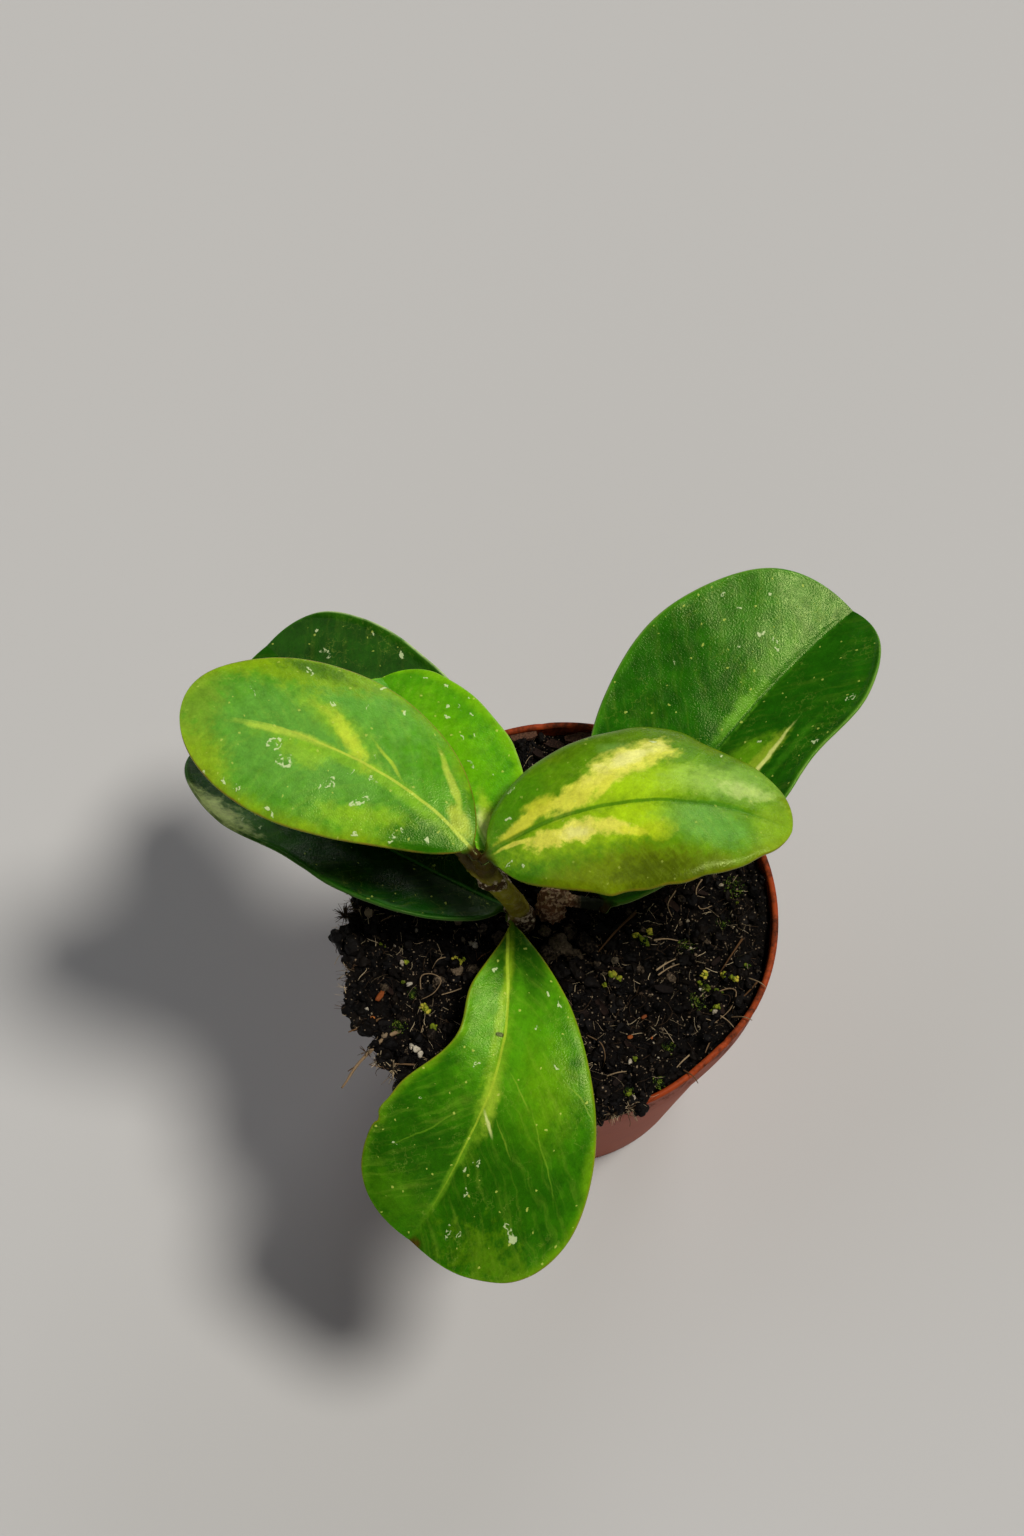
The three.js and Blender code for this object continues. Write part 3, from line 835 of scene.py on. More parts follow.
        def section(turn: float, s: float) -> tuple[Vector, float, float]:
            """A point of the blade's skin, its distance from the midrib and from the margin."""
            point, _, left, up = self.frame_at(s, table)
            side = 1 if 0.25 > turn or turn > 0.75 else -1
            hw = self.half_width(s, side)
            v, share, upper = self.crosswise(turn, hw)
            out = abs(v) * hw
            curl = math.radians(self.cup) / (self.width / 2)
            fold = math.radians(self.fold)
            slope = fold - curl * out
            rise = (math.cos(slope) - math.cos(fold)) / curl
            normal = up * math.cos(slope) - left * (side * math.sin(slope))
            if out < 0.5:
                normal = up.lerp(normal, out / 0.5).normalized()
            towards_tip = math.sqrt(min(1.0, (1 - s) / 0.12))
            thick = self.MARGIN_THICKNESS
            thick += (self.THICKNESS - self.MARGIN_THICKNESS) * (1 - abs(v) ** 3) * towards_tip
            thick = min(thick, 1.7 * hw + 0.02)
            depth = thick / 2 * (1 - share) if upper else thick / 2 * (1 + share)
            place = point + left * (side * (math.sin(fold) - math.sin(slope)) / curl) + up * rise
            place += normal * (self.relief(s, out, hw, side, upper) * min(1.0, hw / 3) - depth)
            return place, side * out, hw - out

        def place(turn: float, run: float) -> Vector:
            """A point of the whole skin."""
            if run >= neck:
                return section(turn, run_to_s(run))[0]
            back = 1 - run / neck
            point, along, left, up = self.frame_at(self.START, table)
            blade = section(turn, self.START)[0] - along * (back * self.NECK_LENGTH)
            tail = math.sqrt(max(0.0, 1 - (max(0.0, back - 0.75) / 0.25) ** 2))
            angle = 2 * math.pi * turn
            radius = self.NECK_RADIUS * tail
            centre = point - Vector((0, 0, self.NECK_DROP)) - along * (back * self.NECK_LENGTH)
            ring = centre + left * (radius * math.cos(angle)) + up * (radius * math.sin(angle))
            return blade.lerp(ring, smooth_step(0, 0.4, back)) if back < 1 else centre

        def note(bm: bmesh.types.BMesh) -> Callable:
            """Make the layers that the wax reads."""
            places = bm.verts.layers.float_vector.new("leaf_place")
            edges = bm.verts.layers.float.new("leaf_edge")
            faces = bm.verts.layers.float.new("leaf_face")

            def fill(vert: bmesh.types.BMVert, turn: float, run: float) -> None:
                """Fill them for one vertex."""
                s = run_to_s(run)
                _, across, inwards = section(turn, s)
                back = max(0.0, 1 - run / neck) * self.NECK_LENGTH
                vert[places] = Vector((s * self.length - back, across, 0.0))
                vert[edges] = inwards + back
                vert[faces] = 1.0 if turn <= 0.5 else 0.0
            return fill

        bm = rolled_grid(self.AROUND, self.ALONG, place, note)
        finish = LeafPaint(self.wax, self.node + "_wax").dress()
        return make_piece(self.node + "_blade", bm, finish, (self.node,))


MOTTLED_WAX = LeafWax(
    body="#589c1c", deep="#46881a", lime="#84a812", lime_width=3, margin="#8a6420", rib="#b9cc44",
    rib_half_width=0.27, rib_reach=58, rib_line=(0.05, 0.75, 0.15), flecks=0.5, gloss=0.22,
    patches=(
        Patch(6, 4.5, 11, 6, 30, "#2c6c04", 0.95, 0.5),
        Patch(22, -8, 15, 8, -15, "#4c9410", 0.7),
        Patch(40, -13, 9, 5, -10, "#4f9430", 0.6),
        # Painted sheen: a paler, bluer green over the middle of the blade stands in for the light's milky
        # gloss.
        Patch(42, 2, 22, 13, 0, "#649f3c", 0.7, 0.5, 0.7),
        Patch(30, -11, 9, 4, -5, "#66a63a", 0.6),
        Patch(7, 5, 9, 4.4, 25, "#276402", 0.9, 0.5),
        Patch(5, -6, 6, 2.6, -45, "#2f7004", 0.85, 0.5),
        Patch(62, 11, 6, 8, 30, "#8fae18", 0.7, 0.6, 0.9),
        Patch(64, -3, 4.4, 8, 0, "#7a9a26", 0.6, 0.6, 1.3),
        Patch(47, -14.6, 13, 4.2, 4, "#7fa20e", 0.8, 0.5, 1),
        Patch(44, -15.4, 5.6, 1.9, 0, "#386608", 0.85, 0.6, 1.1),
        Patch(24, 12, 8, 2.4, 14, "#8dbc1c", 0.6, 0.6, 1.2),
        Patch(19.5, 8.4, 7, 1.7, 24, "#8ab91e", 0.7, 0.6, 0.9),
        Patch(40, 4, 5, 2.6, 0, "#94c22c", 0.6, 0.6, 1.1),
        Patch(25, 1.6, 22, 1.5, 1, "#86ba20", 0.6),
        Patch(24, -2.6, 4.2, 0.35, -26, "#b9d23c", 0.6, 0.6, 0.5),
        Patch(36, -4.8, 9, 2.4, -24, "#8cba24", 0.7, 0.8, 1.2),
        Patch(32.6, -2.9, 6, 1.35, -34, "#c2d83a", 0.85, 0.7, 1),
        Patch(38.2, -6.2, 4.4, 1, -20, "#a9c634", 0.6, 0.8, 1),
        Patch(45, 0.9, 9, 0.75, 0, "#b4cf44", 0.75, 0.6, 0.5),
        Patch(5.6, -1.9, 3.8, 1.8, -18, "#a3b434", 0.9, 0.4, 0.5),
        Patch(11.6, -6.6, 6.8, 0.7, -34, "#aac23e", 0.9, 0.5, 0.5),
    ),
    scuffs=(
        Scuff(24, 8, 2.2, 0.9, 45), Scuff(32, 8, 2, 0.8, 55), Scuff(43, 7, 1.6, 1.5),
        Scuff(46.4, 4.2, 1.5, 1.1), Scuff(13, 10.2, 0.9, 0.7), Scuff(12.6, 7.4, 0.7, 0.4, 20),
        Scuff(20.2, 14.2, 0.6, 0.3), Scuff(28.8, 3.7, 1.1, 0.4, 60), Scuff(24.7, 2.7, 0.9, 0.35, -10),
        Scuff(26.8, -2.5, 1.1, 0.3, -50), Scuff(41, 17.9, 0.4, 0.4), Scuff(43, 17.8, 0.6, 0.45),
        Scuff(51.7, 15, 0.9, 0.7, 30), Scuff(55.3, 13.8, 0.45, 0.45), Scuff(38.9, -8.2, 0.7, 0.8),
        Scuff(33, -11, 0.9, 0.2, -50), Scuff(26.5, -13.8, 0.3, 0.5), Scuff(32.3, -17, 0.4, 0.4),
        Scuff(45, -15, 0.9, 0.8), Scuff(53.6, -6.5, 1.6, 0.2, -65), Scuff(7.3, 5.5, 0.4, 0.3),
        Scuff(60.5, 12.6, 0.35, 0.3),
    ),
)

SPLASHED_WAX = LeafWax(
    body="#66960c", deep="#50820a", lime="#6f8608", lime_width=3.6, margin="#7a6c12", rib="#41780a",
    rib_half_width=0.42, rib_reach=66, rib_line=(0.2, 0.4, 0.35), mottle=0.9, streaks=0.14, flecks=0.3,
    gloss=0.26,
    patches=(
        Patch(6, 8.6, 10, 6.4, 40, "#4a8808", 0.9, 0.6, 0.7),
        Patch(5, -6, 7, 4.5, -35, "#3f7c0a", 0.9, 0.5, 0.6),
        Patch(30, -15, 21, 5, -2, "#6f8206", 0.85),
        # Darker olive along the lower margin: partly the blade's own olive, partly painted shade where the
        # margin rolls down.
        Patch(46, -13.5, 9, 2.6, 8, "#55690a", 0.6, 0.6, 0.9),
        Patch(36, -15.5, 9, 3.6, 0, "#445404", 0.85, 0.6, 1.1),
        Patch(29, 17.5, 20, 4, 4, "#4c7406", 0.8, 0.6, 0.9),
        Patch(48, 13, 3.5, 2.4, 30, "#4a7c08", 0.7),
        Patch(32, 4.6, 12, 4.4, 8, "#a6ce18", 0.9, 0.6, 0.7),
        Patch(21, -4, 17, 4.4, -2, "#94bc14", 0.85, 0.5, 0.7),
        Patch(32, -4, 8, 3.6, 0, "#acd216", 0.85, 0.5, 0.7),
        # Painted sheen: the next five patches, pale and bluish green, stand in for the light's gloss on the
        # blade; the second, palest one is a painted highlight.
        Patch(48, 6.5, 10, 3.6, 5, "#93bc4a", 0.7, 0.6, 0.9),
        Patch(53, 5.6, 4.6, 1.8, 0, "#cbdd84", 0.45, 0.7, 2),
        Patch(46, -4.4, 9.5, 4.2, -3, "#63a03c", 0.8, 0.5, 0.6),
        Patch(56, 10, 6, 3, -8, "#6fa02e", 0.6, 0.5),
        Patch(28.5, 14.6, 2.6, 1.2, 0, "#7ca850", 0.45, 0.7),
        Patch(60, -1, 4, 6, 0, "#88ab22", 0.6),
        Patch(47, 0.35, 7.5, 0.6, 1, "#3f7a0e", 0.85, 0.5, 0.4),
        Patch(10, 2.3, 7.5, 1.5, 14, "#d2d43c", 0.95, 0.35, 0.7),
        Patch(13, 4.9, 3.2, 1.3, 10, "#ccd034", 0.8, 0.5, 0.9),
        Patch(21, 4.2, 6.5, 2.6, 22, "#dbdc48", 0.95, 0.4, 0.9),
        Patch(30, 10.2, 8.4, 3.2, 32, "#e6e65c", 1, 0.5, 0.9),
        Patch(35, 12, 3.6, 2.4, 20, "#e0e252", 0.9, 0.7, 1.1),
        Patch(26, 4.4, 2.8, 0.9, 50, "#dbdc48", 0.9, 0.4, 0.7),
        Patch(31, 11.4, 5.5, 1.6, 28, "#f0efa0", 0.6, 0.6, 1.2),
        Patch(6, -1.3, 4.5, 0.5, -8, "#d9d850", 0.9, 0.4, 0.4),
        Patch(13.5, -3.7, 4.6, 2, -8, "#dedd50", 0.95, 0.3, 1.1),
        Patch(19.5, -4, 4.5, 2.5, 0, "#e8e660", 1, 0.3, 1),
        Patch(26.5, -4.8, 4.6, 1.6, -18, "#e0df54", 0.95, 0.35, 1),
        Patch(31, -6.8, 3.2, 0.9, -20, "#d6da3c", 0.9, 0.4, 0.7),
        Patch(35.8, -6.8, 3.6, 2, 10, "#b4c81c", 0.7, 0.8, 1.2),
        Patch(19, -4.2, 3, 1.2, 0, "#f0ee98", 0.5, 0.6, 1.4),
    ),
    scuffs=(Scuff(8.6, 10.2, 1.2, 0.25, 50), Scuff(35.2, 15.6, 0.5, 0.3), Scuff(47.6, 14, 0.3, 0.3),
            Scuff(6.3, 4.3, 0.4, 0.3), Scuff(3.6, -4.4, 1, 0.5), Scuff(6, -6.3, 0.3, 0.3)),
)

BRIGHT_WAX = LeafWax(
    body="#58a20a", deep="#3f8a0a", lime="#76b60e", lime_width=2.4, margin="#8db32a", rib="#86bc28",
    rib_reach=50, rib_line=(0, 0, 0), petiole="#9dbb4e", streaks=0.1,
    patches=(
        Patch(27, -3, 15, 7, 0, "#66ae08", 0.8),
        Patch(5.5, -1.5, 5.2, 1.6, -9, "#d8e484", 0.95, 0.35, 0.4),
        Patch(9, -3, 5, 1.2, -14, "#a9cc2c", 0.7),
        Patch(2, -6, 5, 1.2, -72, "#c0d44c", 0.8, 0.4, 0.5),
        Patch(18, -12.2, 1.1, 0.8, 0, "#3a8206", 0.7),
        Patch(27.8, -8, 0.6, 0.6, 0, "#3a8206", 0.8),
    ),
    scuffs=(
        Scuff(21.6, -5.3, 1.3, 0.25, 10), Scuff(35.6, -6.9, 0.5, 0.25, 15), Scuff(38.5, -7.6, 0.55, 0.22, 5),
        Scuff(36.5, -10, 0.9, 0.25), Scuff(43.6, -10.2, 0.35, 0.2), Scuff(28, -9.3, 0.6, 0.2, -10),
        Scuff(28.3, -6.4, 0.5, 0.2), Scuff(37.6, -12.6, 0.5, 0.2), Scuff(33.5, -11, 0.3, 0.2),
        Scuff(48, -7.3, 0.3, 0.2), Scuff(17, -8.3, 0.3, 0.2),
    ),
)

FRONT_WAX = LeafWax(
    body="#3a7c06", deep="#225c05", lime="#6a9c0e", lime_width=1.8, margin="#86801c", rib="#aeca34",
    rib_half_width=0.26, rib_reach=66, rib_line=(-0.95, 0.7, 0.05), petiole="#4e5c10", mottle=1,
    streaks=0.17, flecks=0.7, roughness=0.22, gloss=0.13,
    patches=(
        Patch(24, 4, 22, 8.5, 20, "#58a00e", 0.8, 0.6, 0.6),
        Patch(20, -3, 18, 4, -6, "#569c10", 0.7, 0.6, 0.6),
        Patch(56, 10, 15, 12, 0, "#235a04", 0.8, 0.6, 0.7),
        Patch(58, -10, 14, 10, 0, "#225804", 0.8, 0.6, 0.7),
        Patch(6, -1.5, 10, 4.4, 0, "#1f5106", 0.9, 0.6, 0.5),
        Patch(10, 4, 8, 2.6, 16, "#1f5106", 0.85, 0.6, 0.5),
        Patch(34, 12, 8, 4.6, 24, "#6ca00c", 0.6, 0.8, 0.9),
        Patch(17, -0.8, 13, 0.8, -2, "#94b81c", 0.7, 0.9, 0.7),
        Patch(34, 0.6, 12, 1.5, 3, "#86b420", 0.65, 0.9, 1),
        Patch(39, 1.4, 5, 1.4, 12, "#a9ca34", 0.7, 0.6, 1),
        Patch(43.4, 2.8, 2.4, 0.3, 40, "#dfe992", 0.9, 0.6, 0.4),
        Patch(55, 0.1, 12, 0.7, 0, "#6fa41c", 0.6, 0.6, 0.6),
        Patch(66, 16, 4.2, 7, 0, "#6f9c10", 0.4, 0.8, 3),
        Patch(66, -8, 5, 8, 0, "#4a8408", 0.6, 0.6, 1.2),
        Patch(35.5, 6.5, 3.6, 0.16, 45, "#a6c438", 0.35, 0.6, 0.2),
        Patch(44.5, 6.6, 3.8, 0.16, 45, "#a6c438", 0.3, 0.6, 0.2),
        Patch(44, 15, 8, 0.14, 41, "#86b02a", 0.4, 0.6, 0.1),
        Patch(34, 19, 4.5, 0.16, 55, "#9cc040", 0.4, 0.6, 0.2),
        Patch(50, -9, 7, 0.15, -38, "#7cac24", 0.35, 0.6, 0.1),
        Patch(25.8, -0.5, 0.5, 0.9, 10, "#141a05", 1, 0.3, 0.6),
        Patch(72.4, 1.2, 1.3, 1.6, 0, "#4a2c0c", 0.9, 0.5),
        Patch(52, -20.6, 2.6, 0.6, 4, "#6a3f14", 0.8, 0.5),
    ),
    scuffs=(
        Scuff(58.9, 15.8, 1.5, 0.6, 62), Scuff(59.8, 17.4, 0.5, 0.4), Scuff(23, 7.2, 0.9, 0.35, 65),
        Scuff(13.8, 6, 0.7, 0.2, 20), Scuff(15.8, 7.8, 0.3, 0.3), Scuff(29.5, 12, 0.6, 0.25, 60),
        Scuff(51.3, 3.9, 1, 0.5, 25), Scuff(57, 4.3, 1, 0.45, 40), Scuff(64.8, 7.8, 1.1, 0.5, 30),
        Scuff(66, 6, 1.3, 0.5, 20), Scuff(53.7, 2.5, 0.5, 0.25), Scuff(43.4, -11.6, 0.7, 0.4, -30),
        Scuff(32.5, -3.5, 0.7, 0.4, -60), Scuff(55.8, -12.8, 0.35, 0.25), Scuff(18, 10.4, 0.4, 0.2),
        Scuff(12.2, -3.4, 0.6, 0.3, -30),
    ),
)

DEEP_WAX = LeafWax(
    body="#236206", deep="#154a05", lime="#3c7f0f", lime_width=1.6, margin="#6f9438", rib="#1c5406",
    rib_reach=84, rib_line=(0.2, 0.4, 0.6), mottle=0.9, streaks=0.08, roughness=0.2, gloss=0.17, pleats=0.2,
    patches=(
        Patch(62, -9, 24, 9, 0, "#1f5c06", 0.8, 0.6, 0.5),
        # Painted sheen: a lighter green over the tip, where the light's gloss falls.
        Patch(72, 14, 13, 12, 0, "#3a7a14", 0.5),
        Patch(60, 4, 9, 3, 3, "#4c8a12", 0.5, 0.8, 1.4),
        Patch(49, 1.7, 8, 1.5, 3, "#5f9c20", 0.85, 0.6, 1),
        Patch(41, -8, 6.5, 3.6, -20, "#66a010", 0.85, 0.5, 0.7),
        Patch(43, -11.4, 7.4, 1.6, 0, "#94b428", 0.9, 0.5),
        Patch(43.5, -12.4, 8, 0.5, 5, "#dbe37c", 1, 0.5, 0.4),
        Patch(47, -16, 10, 1, 0, "#3a7c10", 0.6),
    ),
    scuffs=(
        Scuff(47.5, 19.3, 0.8, 0.3, 60), Scuff(58.3, 11.4, 0.8, 0.35, -30), Scuff(64.2, 10, 0.5, 0.4),
        Scuff(65.3, 6.6, 2, 0.5, 65), Scuff(63.5, -18.4, 1.4, 0.6, 10), Scuff(71.7, 15, 0.3, 0.3),
        Scuff(65, 17, 0.3, 0.3), Scuff(45.5, -7.6, 0.25, 0.5), Scuff(51, -20.2, 0.6, 0.2),
        Scuff(64.6, 21.5, 0.7, 0.5),
    ),
)

SHADED_WAX = LeafWax(
    body="#144a0a", deep="#082e05", lime="#2a6a12", lime_width=1.6, margin="#34521f", rib="#2f6a1c",
    rib_reach=70, petiole="#2c4a10", under="#5c783f", streaks=0.06, flecks=0.5, roughness=0.2, gloss=0.1,
    patches=(
        Patch(57, 14, 12, 5, 0, "#37741a", 0.7),
        # Painted sheen: this pale patch near the tip's raised left edge stands in for the light's gloss
        # there.
        Patch(62, 14.5, 9, 3.2, -14, "#dcea94", 0.95, 0.7, 1.4),
        Patch(18, 2, 20, 18, 0, "#071f04", 0.6),
        Patch(20, 16.4, 5, 0.6, 10, "#3f7434", 0.4),
    ),
    scuffs=(Scuff(51.4, 13.2, 0.3, 0.8), Scuff(55.3, 13, 0.25, 0.5), Scuff(64.3, -9.6, 0.3, 0.5)),
)

# On this leaf the pale margin colour is a painted highlight along the rolled rim.
BACK_WAX = LeafWax(
    body="#1d5208", deep="#103e05", lime="#357410", lime_width=1.8, margin="#b9d488", rib="#2f6a1c",
    rib_reach=70, streaks=0.06, roughness=0.22,
    scuffs=(Scuff(58.2, -7.6, 1.2, 0.35, -50), Scuff(60, -7.7, 0.9, 0.3, 25), Scuff(64.5, -9.6, 0.3, 0.6),
            Scuff(44.5, -18.5, 0.6, 0.25), Scuff(53.5, -17.7, 0.3, 0.3)),
)

# Each row follows the order of Blade's fields.
BLADES = (
    Blade("leaf_top_left", (-19.5, 0, 112), 131, 49, 14, -17, 1, 2, 67, 38.5, 0.59, 0.48, 1, 17, 0.02, -0.01,
          (-0.5, -0.25, 0, 0), (0, -0.25, -0.5, -1), Slot.MOTTLED, MOTTLED_WAX, -0.3, -0.2, -0.05, 0.3, 1.5),
    Blade("leaf_top_right", (-16, -1, 111.5), 26, -48, 28, -43, -6, -8, 63.5, 40, 0.5, 0.57, 2, 20, 0.02,
          0.02, (0, 0, 0.75, -1.75), (-1.25, -0.75, -0.25, -0.5), Slot.SPLASHED, SPLASHED_WAX, -0.5, -0.5,
          0.4, 0.35, 2.5,
          ((0.51, 1, -0.6, 4), (0.69, 1, 0.9, 3), (0.83, 1, -0.5, 3), (0.375, -1, -0.7, 3), (0.6, -1, 0.5, 3),
           (0.75, -1, 0.5, 2.5), (0.93, -1, 0.7, 2))),
    Blade("leaf_upper_back", (-15.5, 1, 107.5), 114, 6, -6, -17, 15, -2, 54, 32.5, 0.57, 0.45, 15, 11, 0,
          0.03, (-0.25, 0, 0, 0), (0.25, -0.25, -1.25, -1.25), Slot.BRIGHT, BRIGHT_WAX, 0, 0.2, 0.2, 0.3,
          3.5),
    Blade("leaf_back_right", (8.5, -0.5, 85), 55, -12, 19, -17, -15, 8, 82.5, 53.5, 0.59, 0.45, 23, 1, 0.09,
          0.01, (-1.5, -1, -0.5, -1.25), (0, 1.5, -1.75, 0.25), Slot.DARK, DEEP_WAX, 0.2, 0.7, 0.45, 0.24,
          4.5),
    Blade("leaf_back_left", (-17.5, 12, 83.5), 133, -1, -2, -8, -11, 1, 72, 45, 0.6, 0.42, 10, 2, 0, 0.02,
          (0, 0, 0, 0), (0, 0, -1, -1), Slot.DARK, BACK_WAX, 0.2, 0.9, 0.3, 0.3, 5.5),
    Blade("leaf_low_left", (-13, -1, 85), 153, 1, 3, -1, 7, 4, 74.5, 41, 0.55, 0.49, 24, 1, 0, -0.05,
          (0.25, -0.5, -2.5, 0.75), (0, 0, 0, 0), Slot.DARK, SHADED_WAX, 0.6, 0.2, 0.3, 0.35, 6.5),
    Blade("leaf_front", (-11.5, -4.5, 85), -86, -46, 9, -48, -5, -1, 72.5, 46.5, 0.74, 0.39, 10, 16, 0.2,
          -0.01, (-0.25, -0.75, -0.5, 0), (1.25, -3, 0.25, 0.25), Slot.BRIGHT, FRONT_WAX, -0.2, 0.3, 0.1,
          0.35, 7.5, ((0.965, 1, 1, 2), (0.72, -1, 0.7, 1), (0.68, -1, -0.4, 2))),
)


@dataclass(frozen=True)
class MouldedPot:
    """Injection moulded polypropylene nursery pot: thin, even walled, satin, with a beaded rim."""

    dent_depth: float = 0.9
    dent_angle: float = 312
    dent_spread: float = 15
    dent_from: float = 45
    hole_count: int = 6
    hole_radius: float = 3.5
    hole_ring: float = 18
    steps: int = 360
    wall_cuts: int = 9
    bead_rise: float = 0.75
    wobble: float = 0.12
    wobble_mm: float = 24
    # Turn, spread and depth of each nick in the rim.
    nicks: tuple[tuple[float, float, float], ...] = ((331.7, 1.3, 0.5), (318.6, 1.0, 0.7), (305.6, 1.6, 0.35),
                                                     (348.0, 0.9, 0.25), (96.0, 1.2, 0.3))

    def dent(self, x: float, y: float, z: float) -> float:
        """How far the soft wall is pushed in at a place.

        Args:
            x: Place in millimetres.
            y: Place in millimetres.
            z: Height in millimetres.

        Returns:
            The push in millimetres.
        """
        off = (math.degrees(math.atan2(y, x)) - self.dent_angle + 540) % 360 - 180
        radius = min(1.0, (math.hypot(x, y) / RIM_RADIUS) ** 2)
        push = self.dent_depth * math.exp(-(off / self.dent_spread) ** 2)
        return push * radius * smooth_step(self.dent_from, POT_HEIGHT, z)

    def chipped(self, turn: float) -> float:
        """How much the rim has lost at a turn in degrees, in millimetres."""
        return sum(depth * math.exp(-(((turn - at) / wide) ** 2)) for at, wide, depth in self.nicks)

    def profile(self) -> list[tuple[float, float]]:
        """Radius and height of the section, from the middle of the underside round to the floor.

        Returns:
            The points in millimetres.
        """
        half, rise = RIM_BEAD / 2, self.bead_rise
        turns = [math.radians(degrees) for degrees in range(-20, 201, 20)]
        bead = [(RIM_RADIUS - half + half * math.cos(turn), POT_HEIGHT - rise + rise * math.sin(turn))
                for turn in turns]
        below = RIM_RADIUS - COLLAR_OUTER
        return [
            (0, 0), (8, 0), (8.4, 0.15), (9.2, CHANNEL_DEPTH), (26.8, CHANNEL_DEPTH), (27.7, 0.15), (28, 0),
            (30.6, 0), (FOOT_RADIUS, 0.2), (31.6, 1), (UNDER_COLLAR_RADIUS, 67.3),
            (UNDER_COLLAR_RADIUS + 0.5, 67.9), (COLLAR_OUTER - 0.25, 68.35), (COLLAR_OUTER, 68.7),
            (RIM_RADIUS - 0.35 * below, 76.2), *bead,
            (COLLAR_OUTER - POT_WALL, COLLAR_FOOT + 0.4), (UNDER_COLLAR_RADIUS - POT_WALL, COLLAR_FOOT - 0.9),
            (30.9, FLOOR_TOP + 0.8), (30, FLOOR_TOP), (0, FLOOR_TOP),
        ]

    def build(self) -> bpy.types.Object:
        """Make the pot.

        Returns:
            The dressed piece.
        """
        bm = bmesh.new()
        verts = [bm.verts.new((radius * MM, 0, z * MM)) for radius, z in self.profile()]
        edges = [bm.edges.new(pair) for pair in zip(verts, verts[1:])]
        bmesh.ops.spin(bm, geom=verts + edges, cent=(0, 0, 0), axis=(0, 0, 1), angle=math.tau,
                       steps=self.steps, use_merge=True, use_duplicate=False)
        bmesh.ops.remove_doubles(bm, verts=bm.verts, dist=WELD)
        bmesh.ops.recalc_face_normals(bm, faces=bm.faces)
        tall = [e for e in bm.edges if abs(e.verts[0].co.z - e.verts[1].co.z) > 10 * MM]
        bmesh.ops.subdivide_edges(bm, edges=tall, cuts=self.wall_cuts, use_grid_fill=True)
        piece = make_piece("nursery_pot", bm, self.material(), ("pot",))
        self.bore(piece)
        for vert in piece.data.vertices:
            x, y, z = vert.co / MM
            radius = math.hypot(x, y)
            if radius > 1:
                wobble = self.wobble * noise.noise(Vector((x, y, z)) / self.wobble_mm)
                if z > POT_HEIGHT - 1.6:
                    vert.co.z -= self.chipped(math.degrees(math.atan2(y, x)) % 360) * MM
                vert.co.xy *= (radius - self.dent(x, y, z) + wobble * smooth_step(10, 40, z)) / radius
        return piece

    def bore(self, piece: bpy.types.Object) -> None:
        """Cut the drain holes through the floor.

        Args:
            piece: The pot.
        """
        bm = bmesh.new()
        ring = self.hole_ring * MM
        for i in range(self.hole_count):
            angle = (i + 0.5) * math.tau / self.hole_count
            at = Matrix.Translation((ring * math.cos(angle), ring * math.sin(angle), 0))
            bmesh.ops.create_cone(bm, cap_ends=True, segments=32, radius1=self.hole_radius * MM,
                                  radius2=self.hole_radius * MM, depth=4 * FLOOR_TOP * MM, matrix=at)
        drills = placed("drills", as_mesh("drills", bm))
        cut = piece.modifiers.new("drain holes", "BOOLEAN")
        cut.object, cut.operation, cut.solver = drills, "DIFFERENCE", "EXACT"
        piece.data = baked(piece)
        bpy.data.objects.remove(drills)

    def material(self) -> bpy.types.Material:
        """Terracotta coloured polypropylene: satin, faintly cloudy, dusty with peat near the rim.

        Returns:
            The material.
        """
        nodes = Nodes(bpy.data.materials.new("moulded_polypropylene"))
        add = nodes.add
        place = add("TexCoord", out=3)
        clouds = add("TexNoise", {"Vector": place, "Scale": 0.06 / MM, "Detail": 4.0})
        height = add("SeparateXYZ", (place,), out=2)
        low = add("MapRange", (height, 58 * MM, 79 * MM, 0.0, 0.26))
        grime = add("TexNoise", {"Vector": place, "Scale": 0.26 / MM, "Detail": 5.0, "Roughness": 0.7})
        grime = add("Math", (grime, low), operation="ADD")
        grime = add("MapRange", (grime, 0.68, 0.86, 0.0, 0.85))
        colour = nodes.coated("#8c3414", ((clouds, "#a84a20"), (grime, "#2a1c14")))
        rough = add("MapRange", (grime, 0.0, 1.0, 0.5, 0.85))
        # Fine moulding texture, drawn at 0.5 mm.
        skin = add("TexNoise", {"Vector": place, "Scale": 1 / (0.5 * MM), "Detail": 2.0})
        skin = add("Math", (grime, 2.0, skin), operation="MULTIPLY_ADD")
        return nodes.finish(colour, rough, skin, (0.35, 0.1), 1.49, 0.09)


@dataclass(frozen=True)
class Sector:
    """Part of the rim, in degrees, where the mix is heaped or spilled."""

    start: float
    end: float
    fade: float

    def share(self, angle: float) -> float:
        """How much an angle in radians is in the sector, from 0 to 1."""
        degrees = math.degrees(angle) % 360
        return smooth_step(self.start - self.fade, self.start, degrees) * (
            1 - smooth_step(self.end, self.end + self.fade, degrees))


